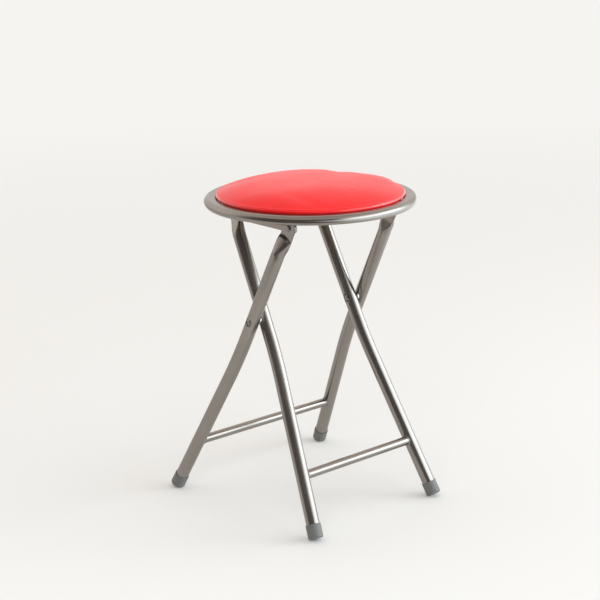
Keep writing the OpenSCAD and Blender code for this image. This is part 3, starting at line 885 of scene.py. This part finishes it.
def relaxed_crown():
    """Lets the crown settle as cloth over air pressure, its rim held, and returns how each point moved.

    The cloth starts a little low, swells, and is then scaled so that its middle comes back to the set height.
    """
    start_share, held_share, frames = 0.86, 0.992, 20
    crown, _ = pad_skin(0.0)
    low, base = crown.copy(), crown[:, 2].min()
    low[:, 2] = base + (low[:, 2] - base) * start_share
    mesh = bpy.data.meshes.new("crown_cloth")
    mesh.from_pydata(low.tolist(), [], GRID_FACES.tolist())
    cloth = linked("crown_cloth", mesh)
    r = np.hypot(low[:, 0], low[:, 1])
    cloth.vertex_groups.new(name="held").add(np.nonzero(r > r.max() * held_share)[0].tolist(), 1.0, "REPLACE")
    sim = cloth.modifiers.new("cloth", "CLOTH")
    for key, value in {"quality": 6, "mass": 0.3, "tension_stiffness": 40, "compression_stiffness": 40,
                       "bending_stiffness": 0.6, "air_damping": 3, "use_pressure": True,
                       "uniform_pressure_force": 4, "vertex_group_mass": "held"}.items():
        setattr(sim.settings, key, value)
    sim.settings.effector_weights.gravity = 0
    sim.point_cache.frame_start, sim.point_cache.frame_end = 1, frames
    for number in range(1, frames + 1):
        bpy.context.scene.frame_set(number)
    ended = cloth.evaluated_get(bpy.context.evaluated_depsgraph_get()).data
    settled = np.empty(len(low) * 3)
    ended.vertices.foreach_get("co", settled)
    bpy.context.scene.frame_set(1)
    bpy.data.objects.remove(cloth)
    move = settled.reshape(-1, 3) - low
    far = np.linalg.norm(move, axis=1, keepdims=True)
    settled = low + move * np.minimum(1, seat().swell / np.maximum(far, 1e-9))
    middle = np.argmin(r)
    gain = (crown[middle, 2] - base) / (settled[middle, 2] - base)
    settled[:, 2] = base + (settled[:, 2] - base) * gain
    return settled - crown


# Shapes of the rails

def rail_rows():
    """Channel section with folded edges carried along Y, for the right side.

    Each point of the section is kept above a lower line, which runs along the web where the channel has no
    walls and follows the rounded corners of the walls where it has. The ends follow the ring's inner circle.
    """
    h, edge, gap, ramp = hardware(), 0.0003, 0.0001, 0.012
    w, t, b, r = h.rail_w / 2, h.rail_t, h.rail_bend, h.rail_corner
    top, bottom = RAIL_TOP, RAIL_TOP - h.rail_h
    corner = angles(0, 90, 8)
    outer, inner = (np.concatenate([[[x, bottom + edge], [x, top - h.rail_h * 0.6]],
                                    at(w - b + bend * np.cos(corner), top - b + bend * np.sin(corner))])
                    for x, bend in ((w, b), (w - t, b - t)))
    half = np.concatenate([inner[::-1], [[w - t + edge, bottom], [w - edge, bottom]], outer])
    section = np.concatenate([half, half[::-1] * [-1, 1]])
    start, end, reach = HINGE[1] - h.rail_nose, ROD[1] + h.rail_heel, ring_inside() - h.seat_gap
    later = start + h.rail_setback
    corner_y = r * (1 - np.cos(angles(0, 90, 9)))
    near, inner_near, far = start + corner_y, later + corner_y, end - corner_y[::-1]
    y = np.concatenate([[SEAT[1] - reach], np.linspace(SEAT[1] - reach + ramp, start - gap, 5), near,
                        np.linspace(near[-1], later - gap, 5)[1:], inner_near,
                        np.linspace(inner_near[-1], far[0], 26)[1:-1], far,
                        np.linspace(end + gap, SEAT[1] + reach - ramp, 5), [SEAT[1] + reach]])[:, None]
    first = np.where(section[:, 0] > 0, start, later)
    to_end = np.minimum(y - first, end - y)
    drop = np.where(to_end >= 0, r - np.sqrt(np.maximum(r * r - (r - np.clip(to_end, 0, r)) ** 2, 0)), 0)
    x = RAIL_X - w + section[:, 0]
    limit = np.sqrt(np.maximum(reach ** 2 - x ** 2, 0))
    return at(x, np.clip(y, SEAT[1] - limit, SEAT[1] + limit),
              np.maximum(section[:, 1], np.where(to_end < 0, top - t, bottom + drop)))


def hook_outline():
    """Outline of a hook's notch round the rod: a round seat and a slanting way in from below."""
    h, under = hardware(), 0.001
    low = HINGE[2] - (RAIL_TOP - h.rail_h) + under
    lx, lz = -h.hook_r * np.cos(h.hook_slant), h.hook_r * np.sin(h.hook_slant)
    slant = (low + lz) * np.tan(h.hook_slant)
    over = np.linspace(np.pi - h.hook_slant, 0, 28)
    return np.concatenate([at(h.hook_r * np.cos(over), h.hook_r * np.sin(over)),
                           [[h.hook_r, -low * 0.5], [h.hook_r, -low], [lx - slant, -low],
                            [lx - slant * 0.5, (lz - low) * 0.5]]])


def rail_tools(side):
    """Closed skins to cut out of a rail: the hook's notch, the hinge hole and the screw holes."""
    h, past, screw_play, pin_play = hardware(), 0.001, 0.00015, 0.00006
    notch = hook_outline()
    prism = np.stack([at(x, ROD[1] + notch[:, 0], ROD[2] + notch[:, 1])
                      for x in (RAIL_X - h.rail_w - 2 * past, RAIL_X + 2 * past)])
    hinge = bar((RAIL_X - h.rail_t - past, *HINGE[1:]), (RAIL_X + past, *HINGE[1:]), h.rivet_r + pin_play)
    profile = at([RAIL_TOP - h.rail_t - past, RAIL_TOP + past], h.screw_r + screw_play)
    holes = [lathe(profile, 32, "Z", (RAIL_X - h.rail_w / 2, y, 0)) for y in screw_places()]
    return [shell(mirrored(rows, side)) for rows in (prism, hinge, *holes)]


def screw_places():
    """Places of a rail's screws along Y: one at the seat's middle and one on each side of it."""
    return SEAT[1] + np.array([-1, 0, 1]) * hardware().screw_pitch


def rail_bead(end):
    """Weld bead at a rail's end, for the right side: a rippled tube along the ring, thin at its own ends."""
    h, inset, r, flatness, drop, away, count = hardware(), 0.001, 0.0012, 0.8, 0.0009, 0.0001, 40
    x, k, a = np.linspace(RAIL_X - h.rail_w + inset, RAIL_X - inset, count), np.arange(count), circle(10)
    tip = smooth(np.minimum(k, k[::-1]) / 3)
    size = (r * (0.25 + 0.75 * tip) * (1 + 0.12 * np.sin(k * 1.7)))[:, None]
    y = SEAT[1] + end * np.sqrt((ring_inside() - away) ** 2 - x ** 2)
    return at(x[:, None], y[:, None] + size * np.cos(a), RAIL_TOP - drop + flatness * size * np.sin(a))


# One operator for each piece or group of like pieces

class STOOL_OT_seat_ring(bpy.types.Operator):
    """Make the ring of flat-oval tube round the seat"""
    bl_idname = "stool.seat_ring"
    bl_label = "Seat Ring"

    def execute(self, context):
        """Carries the flat-oval section, two half circles joined by straights, round the seat's middle."""
        s = seat()
        r, half = s.ring_h / 2, (s.ring_w - s.ring_h) / 2
        a = angles(-90, 90, 22)
        right, top = at(half + r * np.cos(a), r * np.sin(a)), at(np.linspace(half, -half, 6)[1:-1], r)
        section = np.concatenate([right, top, -right, -top])
        phi = circle(288)[:, None]
        radius = RING_R - s.ring_w / 2 + section[:, 0]
        rows = at(radius * np.cos(phi), radius * np.sin(phi), section[:, 1]) + SEAT
        add_piece("seat_ring_tube", [shell(rows, hoop=True)], "seat", "frame_paint", paint_finish(),
                  "seat_ring", sharp=60)
        return {"FINISHED"}


class STOOL_OT_padded_seat(bpy.types.Operator):
    """Make the vinyl cover with its turned hem, and the foam inside it"""
    bl_idname = "stool.padded_seat"
    bl_label = "Padded Seat"

    def execute(self, context):
        """The hem turns in under the board, and a sine wave of small gathers runs along it and round it."""
        s, settled_share, fold_h = seat(), 0.5, 0.00022
        drift = settled_share * relaxed_crown()
        (crown, rows), (lining, lining_rows) = (pad_skin(depth, drift) for depth in (0.0, s.cover_t))
        a = np.arctan2(crown[RIM, 1], crown[RIM, 0])
        edge_r, hem_in = np.hypot(*rows[-1, 0, :2]), BOARD_R - s.hem_w

        def loops(r, z):
            """Loops round the seat's middle, one for each radius, at the angles of the crown's rim."""
            r = np.reshape(r, (-1, 1))
            return at(r * np.cos(a), r * np.sin(a), z)

        turn_in, turn_up, count = np.array([0.0001, 0.0007, 0.0015]), [0.0005, 0.0001], 12
        gather = 1 + 0.5 * np.sin(46 * a) * np.sin(17 * a + 1)
        hem_r = np.concatenate([edge_r - turn_in[:2], np.linspace(edge_r - turn_in[2], hem_in, count)])
        hem_z = np.concatenate([turn_up, np.zeros(count)]) + HEM_H
        fold = np.concatenate([[0, 0], np.sin(np.linspace(0.15, 2.9, count)) * fold_h])
        lower = loops(hem_r, hem_z[:, None] + fold[:, None] * gather)
        upper = loops([hem_in + HAIR, edge_r - s.cover_t], HEM_H + s.cover_t)
        skin = wrapped(crown, (rows, lower, upper, lining_rows[::-1]), lining)
        cover = add_piece("seat_pad_cover", [skin], "seat", "red_vinyl", vinyl_finish(), "seat_cover",
                          sharp=75)

        crown, rows = pad_skin(s.cover_t + HAIR, drift)
        inside = loops([BOARD_R + HAIR] * 2, np.array([[BOARD_LOW[2]], [BOARD_HIGH[2] + HAIR]]))
        floor = at(*disc_grid(BOARD_R), BOARD_HIGH[2] + HAIR).reshape(-1, 3)
        skin = wrapped(crown, (rows, inside), floor)
        foam = add_piece("seat_pad_foam", [skin], "seat", "foam", foam_finish(), "seat_foam", sharp=60)
        return {"FINISHED"}


class STOOL_OT_seat_underside(bpy.types.Operator):
    """Finish the board and make the staples in the hem"""
    bl_idname = "stool.seat_underside"
    bl_label = "Seat Underside"

    def execute(self, context):
        """Each staple is a flattened wire carried along its two legs and its crown."""
        s, h = seat(), hardware()
        board = frame["nodes"]["seat_board"]
        board.data.materials.clear()
        board.data.materials.append(board_finish())
        count, wire_w, wire_h, bend, deep, near_rail = 24, 0.0006, 0.0003, 0.0007, 0.0065, 0.009
        half, low = 0.0045 - wire_w, HEM_H - wire_h
        pitch_r = BOARD_R - s.hem_w / 2
        places = 2 * np.pi * (np.arange(count) + 0.5) / count
        off_rail = np.abs(np.abs(pitch_r * np.cos(places)) - (RAIL_X - h.rail_w / 2))
        places = places[off_rail > (h.rail_w + near_rail) / 2 + h.seat_gap]
        corner = angles(90, 0, 5)
        turn_in = at(half - bend + bend * np.sin(corner), low + bend - bend * np.cos(corner))
        path = np.concatenate([[[half, low + deep]], turn_in, turn_in[::-1] * [-1, 1], [[-half, low + deep]]])
        step = np.gradient(path, axis=0)
        step /= np.linalg.norm(step, axis=1, keepdims=True)
        b = circle(8)
        flat, wide = (np.sign(wave) * np.abs(wave) ** 0.6 * r
                      for wave, r in ((np.cos(b), wire_h), (np.sin(b), wire_w)))
        across, x = path[:, 0:1] - step[:, 1:2] * flat, pitch_r + wide
        up = path[:, 1:2] + step[:, 0:1] * flat
        skins = [shell(at(x * c - across * d, SEAT[1] + x * d + across * c, up))
                 for c, d in zip(np.cos(places), np.sin(places))]
        add_piece("hem_staples", skins, "seat", "bright_steel", zinc_finish(), "cover_staples", sharp=50)
        return {"FINISHED"}


class STOOL_OT_rails(bpy.types.Operator):
    """Make the two folded rails under the seat, with their hooks, and weld them to the ring"""
    bl_idname = "stool.rails"
    bl_label = "Seat Rails"

    def execute(self, context):
        rows = rail_rows()
        for side, word in SIDES:
            add_piece(f"{word}_rail_channel", [shell(mirrored(rows, side))], "seat", "frame_paint",
                      paint_finish(), f"{word}_rail", sharp=34, cut=rail_tools(side))
        beads = [shell(mirrored(rail_bead(end), side)) for side in (LEFT, RIGHT) for end in (-1, 1)]
        add_piece("rail_welds", beads, "seat", "frame_paint", paint_finish(), sharp=60)
        return {"FINISHED"}


class STOOL_OT_rail_screws(bpy.types.Operator):
    """Make the screws that hold the rails to the board"""
    bl_idname = "stool.rail_screws"
    bl_label = "Rail Screws"

    def execute(self, context):
        """A pan head on a shank. Its face is lowered inside a cross, deepest along its two lines."""
        h, rim, dome, tip, arm_w, arm_len, cross_d = hardware(), 0.0011, 0.10, 0.002, 0.00045, 0.0014, 0.0011
        high, r, length_in = h.screw_head_h, h.screw_head_r, BOARD_LOW[2] + h.screw_bite - RAIL_TOP + h.rail_t
        face = np.linspace(0.0001, 0.85, 18) * r
        edge = arc((0, r - rim), rim, 178, 92, 5)[:, 1]
        profile = np.concatenate([
            at(-high * (1 - dome * (face / r) ** 2), face),
            at(np.linspace(-high * 0.86, -high * 0.45, 5), edge),
            [[0, r - 0.0002], [0, h.screw_r * 1.2], [0.0002, h.screw_r], [length_in - tip, h.screw_r],
             [length_in, 0.0002]]])
        x, y, z = np.moveaxis(lathe(profile, 64, "Z"), -1, 0)
        skins = []
        for side in (LEFT, RIGHT):
            for k, place in enumerate(screw_places()):
                turn = 0.35 + k + side
                c, d = np.cos(turn), np.sin(turn)
                u, v = x * c - y * d, x * d + y * c
                arm = smooth(1.5 - np.minimum(np.abs(u), np.abs(v)) / arm_w)
                sink = cross_d * arm * smooth(1.9 - np.hypot(u, v) / arm_len)
                rows = at(x, y, z + np.where(z < -high * 0.8, sink, 0))
                skins.append(shell(rows + (side * (RAIL_X - h.rail_w / 2), place, RAIL_TOP - h.rail_t)))
        add_piece("rail_screw_set", skins, "seat", "bright_steel", zinc_finish(), "rail_screws", sharp=34)
        return {"FINISHED"}


class STOOL_OT_legs(bpy.types.Operator):
    """Make the four bent legs with their crushed ends and holes"""
    bl_idname = "stool.legs"
    bl_label = "Legs"

    def execute(self, context):
        h, paint, plate_reach, tube_reach, pin_play = hardware(), paint_finish(), 0.004, 0.014, 0.00002
        for (which, kind), top, pin_r, play in zip(FRAMES, (HINGE, ROD), (h.rivet_r, h.rod_r),
                                                   (pin_play, 3 * pin_play)):
            x = leg_x(which)
            flat_x = x - flat_in()
            tools = (bar((flat_x - plate_reach, *top[1:]), (flat_x + plate_reach, *top[1:]),
                         pin_r + pin_play),
                     bar((x - tube_reach, *PIVOT[1:]), (x + tube_reach, *PIVOT[1:]), h.rivet_r + play))
            for side, word in SIDES:
                cuts = [shell(mirrored(rows, side)) for rows in tools]
                add_piece(f"{kind}_leg_{word}_tube", [leg_skin(which, side)], kind + "_frame",
                          "frame_paint", paint, f"{kind}_leg_{word}", sharp=40, cut=cuts)
        return {"FINISHED"}


class STOOL_OT_stretchers(bpy.types.Operator):
    """Make the lower stretchers and the weld beads at their ends"""
    bl_idname = "stool.stretchers"
    bl_label = "Stretchers"

    def execute(self, context):
        paint, ripples = paint_finish(), 26
        for which, kind in FRAMES:
            skin, end = stretcher_skin(which)
            name, body = kind + "_stretcher", kind + "_frame"
            add_piece(name + "_tube", [skin], body, "frame_paint", paint, name, sharp=40)
            beads = [shell(bead(finer(mirrored(end, side)), tubes().bead_r, ripples), hoop=True)
                     for side in (LEFT, RIGHT)]
            add_piece(name + "_welds", beads, body, "frame_paint", paint, sharp=70)
        return {"FINISHED"}


class STOOL_OT_foot_caps(bpy.types.Operator):
    """Make the four fluted foot caps"""
    bl_idname = "stool.foot_caps"
    bl_label = "Foot Caps"

    def execute(self, context):
        plastic = cap_finish()
        for which, kind in FRAMES:
            for side, word in SIDES:
                add_piece(f"{kind}_foot_{word}_cap", [cap_skin(which, side)], kind + "_frame",
                          "foot_plastic", plastic, f"{kind}_foot_{word}", sharp=45)
        return {"FINISHED"}


class STOOL_OT_rivets(bpy.types.Operator):
    """Make the rivets of the seat hinge and of the leg crossings"""
    bl_idname = "stool.rivets"
    bl_label = "Rivets"

    def execute(self, context):
        t, h, steel = tubes(), hardware(), rivet_finish()
        dome, rolled = domed_head(h.head_h, h.head_r), rolled_head(h.head_h, h.head_r)
        hinge = RAIL_X - h.rail_t - h.seat_gap / 2, t.outer_x - flat_in() + t.plate_t / 2
        cross = leg_x(INNER) - t.tube_r + t.dimple_depth - h.seat_gap, t.outer_x + t.tube_r - t.dimple_depth
        for name, node, place, (start, end), inner_head in (
                ("seat_hinge_rivets", "seat_pivot_rivets", HINGE, hinge, rolled),
                ("leg_crossing_rivets", "leg_pivot_rivets", PIVOT, cross, dome)):
            rows = lathe(rivet_profile(start, end, inner_head, dome, h.rivet_r), middle=(0, *place[1:]))
            add_piece(name, pair(rows), "outer_frame", "bright_steel", steel, node, sharp=40)
        return {"FINISHED"}


class STOOL_OT_spacers(bpy.types.Operator):
    """Make the bright spacers between the crossing legs"""
    bl_idname = "stool.spacers"
    bl_label = "Spacers"

    def execute(self, context):
        """A bulged ring whose outer end follows the outer leg's tube.

        Each profile point has a share of the way from the flat end to the leg and a radius. The leg's surface
        is as far off its middle as the point's distance from the leg's line leaves.
        """
        t, h, bulge_h, rivet_play, leg_play, a = tubes(), hardware(), 0.0007, 0.00003, 0.00004, circle(96)
        flat, bore = leg_x(INNER) + t.tube_r + h.seat_gap, h.rivet_r + rivet_play
        bulge = angles(-62, 62, 11)
        along = 0.5 + 0.5 * np.sin(bulge) / np.sin(bulge[-1])
        r = h.spacer_r - bulge_h + bulge_h * np.cos(bulge)
        profile = np.concatenate([[[0, bore]], at(along, r), [[1, bore]]])
        y, z = profile[:, 1:2] * np.cos(a), profile[:, 1:2] * np.sin(a)
        off, up = y * np.cos(TILT) + z * np.sin(TILT), -y * np.sin(TILT) + z * np.cos(TILT)
        leg = t.outer_x - up * np.tan(t.lean) - np.sqrt((t.tube_r + leg_play) ** 2 - off ** 2)
        rows = at(flat + profile[:, 0:1] * (leg - flat), PIVOT[1] + y, PIVOT[2] + z)
        add_piece("crossing_spacers", pair(rows, hoop=True), "outer_frame", "bright_steel", zinc_finish(),
                  "leg_spacers", sharp=50)
        return {"FINISHED"}


class STOOL_OT_rest_rod(bpy.types.Operator):
    """Make the rod that the seat rests on, and its push nuts"""
    bl_idname = "stool.rest_rod"
    bl_label = "Rest Rod"

    def execute(self, context):
        """The rod is a lathe shape with chamfered ends. A push nut is a thin cone with teeth at its bore."""
        t, h, zinc = tubes(), hardware(), zinc_finish()
        half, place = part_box("seat_rest_rod")[1].x, (0, *ROD[1:])
        edge, thin, play, teeth_n, tooth_r, tooth_h = 0.0006, 0.00045, 0.00002, 8, 0.0014, 0.00035
        end = np.array([[half - edge, h.rod_r], [half, h.rod_r - edge * 1.2], [half, 0.0005]])
        span = half - 0.004
        profile = np.concatenate([end[::-1] * [-1, 1], at(np.linspace(-span, span, 9), h.rod_r), end])
        add_piece("rest_rod_bar", [shell(lathe(profile, middle=place))], "inner_frame", "bright_steel",
                  zinc, "seat_rest_rod", sharp=25)
        plate_x = leg_x(INNER) - flat_in() - t.plate_t / 2 - play
        ring = np.linspace(h.rod_r + play, h.nut_r, 12)
        cone = (1 - (ring - ring[0]) / (ring[-1] - ring[0])) * (h.nut_t - thin)
        under = at(plate_x - cone, ring)

        def teeth(r, a, along):
            """Radius with the teeth raised next to the rod, where a cosine wave round it is low."""
            near = 1 - smooth((r - h.rod_r) / tooth_r)
            return r + tooth_h * near * (np.cos(teeth_n * a) < -0.75)

        rows = lathe(np.concatenate([under, under[::-1] - [thin, 0]]), 128, middle=place, radius=teeth)
        add_piece("rod_push_nut_pair", pair(rows, hoop=True), "inner_frame", "bright_steel", zinc,
                  "rod_push_nuts", sharp=30)
        return {"FINISHED"}


# The stage

def floor_mesh(floor_r):
    """Flat rings of quads round a middle face, out to the floor's radius."""
    r, a = np.array([0.4, 1.0, 2.0, 4.0, 8.0, floor_r])[:, None], circle(96)
    here = np.arange(r.size * a.size).reshape(-1, a.size)
    after = np.roll(here, -1, 1)
    quads = at(here[:-1], here[1:], after[1:], after[:-1]).reshape(-1, 4)
    mesh = bpy.data.meshes.new("studio_floor")
    mesh.from_pydata(at(r * np.cos(a), r * np.sin(a), 0.0).reshape(-1, 3).tolist(), [],
                     quads.tolist() + [here[0].tolist()])
    return mesh


def floor_finish(stage):
    """Pale floor. Far off it shows the backdrop's own brightness to the camera.

    Only to steel it shows painted shade in front of the stool and a painted pool of light beside the window.
    """
    tints = finish()
    m, n, place = new_material("studio_floor")
    seen = n.seen()
    far = n.times(n.span(n.add("VectorMath", {0: place}, operation="LENGTH").outputs[1], 0.9, 3.6), seen)
    lit = n.add("BsdfDiffuse", {"Color": rgba(tints.floor)}).outputs[0]
    shade = n.either(far, lit, n.glow("Emission", rgba(tints.backdrop), 1.0))
    # Painted shade in front of the stool and a painted pool of light beside the window, glowing patches seen
    # only in reflections
    for way, start, end, tint, level in ((TOWARDS, 0.42, 0.53, tints.room, stage.shade),
                                         (ASIDE, 0.3, 0.8, tints.window, stage.pool)):
        share = n.times(n.span(n.along(place, way), start, end), n.rest(seen))
        shade = n.either(share, shade, n.glow("Emission", rgba(tint), level))
    n.add("OutputMaterial", {"Surface": shade})
    return m


def studio_world(stage):
    """Studio round the stool by direction: dark room, lit backdrop, ceiling, and a window at the right."""
    tints = finish()
    world = bpy.data.worlds.new("studio")
    world.use_nodes = True
    n = Nodes(world.node_tree)
    way = n.add("TexCoord").outputs["Generated"]
    height, around = n.upright(way), n.math("ARCTAN2", n.along(way, ASIDE), n.along(way, TOWARDS))

    def eased(value, start, end, low=0.0, high=1.0):
        return n.span(value, start, end, low, high, "SMOOTHSTEP")

    def turned(start, end, low=0.0, high=1.0):
        return eased(around, np.radians(start), np.radians(end), low, high)

    backdrop = n.math("ADD", n.rest(turned(-105, -57)), turned(40, 60))
    over = eased(height, 0.54, 0.74)
    under = n.rest(over)
    level = n.math("ADD", n.times(n.span(backdrop, 0, 1, stage.shade, stage.glow), under),
                   n.times(over, eased(height, 0.70, 0.97, stage.fill, stage.zenith)))
    tint = n.blend(n.times(backdrop, under), rgba(tints.room), rgba(tints.backdrop, 1.09))
    window = n.times(n.times(turned(24, 50), turned(100, 140, 1.0, 0.0)), eased(height, 0.36, 0.60, 1.0, 0.0))
    shade = n.either(window, n.glow("Background", tint, level),
                     n.glow("Background", rgba(tints.window), stage.window))
    plain = n.glow("Background", rgba(tints.backdrop), 1.0)
    n.add("OutputWorld", {"Surface": n.either(n.seen(), shade, plain)})
    return world


def photo_camera(stage):
    """Camera at the photo's place, turned along its line of sight."""
    look, right = np.array([0.620937, 0.735505, -0.271051]), np.array([0.761213, -0.648319, -0.015408])
    lens = bpy.data.cameras.new("photo_camera")
    lens.lens, lens.sensor_width, lens.shift_x = stage.focal, 36.0, stage.slide
    lens.clip_start, lens.clip_end = 0.05, 100
    camera = linked("photo_camera", lens)
    across = right / np.linalg.norm(right)
    axes = at(across, np.cross(across, look), -look)
    place = Vector((-1.320690, -1.543878, 0.865155))
    camera.matrix_world = Matrix.LocRotScale(place, Matrix(axes.tolist()), None)
    return camera


def soft_light(name, level, size, place, mirrored_in_steel):
    """Wide lamp turned to the middle of the stool. Its place is towards the camera, to its right, and up."""
    ahead, aside, up = place
    spot = Vector(ahead * np.array(TOWARDS) + aside * np.array(ASIDE)) + Vector((0, 0, up))
    lamp = bpy.data.lights.new(name, "AREA")
    lamp.shape, lamp.size, lamp.size_y = "RECTANGLE", *size
    lamp.energy = level * np.pi * lamp.size * lamp.size_y
    lamp.color = finish().window
    holder = linked(name, lamp)
    holder.rotation_mode = "QUATERNION"
    holder.rotation_quaternion = (Vector((0, 0, 0.25)) - spot).to_track_quat("-Z", "Y")
    holder.location = spot
    holder.visible_camera, holder.visible_glossy = False, mirrored_in_steel


class STOOL_OT_stage(bpy.types.Operator):
    """Make the pale floor, the soft studio light and the camera"""
    bl_idname = "stool.stage"
    bl_label = "Stage"

    def execute(self, context):
        scene, stage = context.scene, context.scene.stool_stage
        floor = linked("studio_floor", floor_mesh(stage.floor_r))
        floor.data.materials.append(floor_finish(stage))
        scene.world = studio_world(stage)
        scene.camera = photo_camera(stage)
        soft_light("key_light", stage.key, (1.1, 0.9), (-0.14, 2.20, 1.20), True)
        soft_light("front_light", stage.front, (1.6, 1.2), (1.75, -0.10, 1.35), False)
        scene.view_settings.view_transform = "Standard"
        return {"FINISHED"}


PIECES = (STOOL_OT_stage, STOOL_OT_seat_ring, STOOL_OT_padded_seat, STOOL_OT_seat_underside, STOOL_OT_rails,
          STOOL_OT_rail_screws, STOOL_OT_legs, STOOL_OT_stretchers, STOOL_OT_foot_caps, STOOL_OT_rivets,
          STOOL_OT_spacers, STOOL_OT_rest_rod)


class STOOL_PT_pieces(bpy.types.Panel):
    """Lists the stool's pieces and their sizes"""
    bl_idname = "STOOL_PT_pieces"
    bl_label = "Folding Stool"
    bl_space_type = "VIEW_3D"
    bl_region_type = "UI"
    bl_category = "Stool"

    def draw(self, context):
        for piece in PIECES:
            self.layout.operator(piece.bl_idname)
        for name, group in GROUPS.items():
            box = self.layout.box()
            box.label(text=group.__name__)
            for key in group.__annotations__:
                box.prop(getattr(context.scene, name), key)


def register():
    for group in GROUPS.values():
        bpy.utils.register_class(group)
    for name, group in GROUPS.items():
        setattr(bpy.types.Scene, name, PointerProperty(type=group))
    for piece in (*PIECES, STOOL_PT_pieces):
        bpy.utils.register_class(piece)


def unregister():
    for piece in (STOOL_PT_pieces, *reversed(PIECES)):
        bpy.utils.unregister_class(piece)
    for name in GROUPS:
        delattr(bpy.types.Scene, name)
    for group in reversed(list(GROUPS.values())):
        bpy.utils.unregister_class(group)


def main():
    register()
    for piece in PIECES:
        group, name = piece.bl_idname.split(".")
        getattr(getattr(bpy.ops, group), name)()


if __name__ == "__main__":
    main()
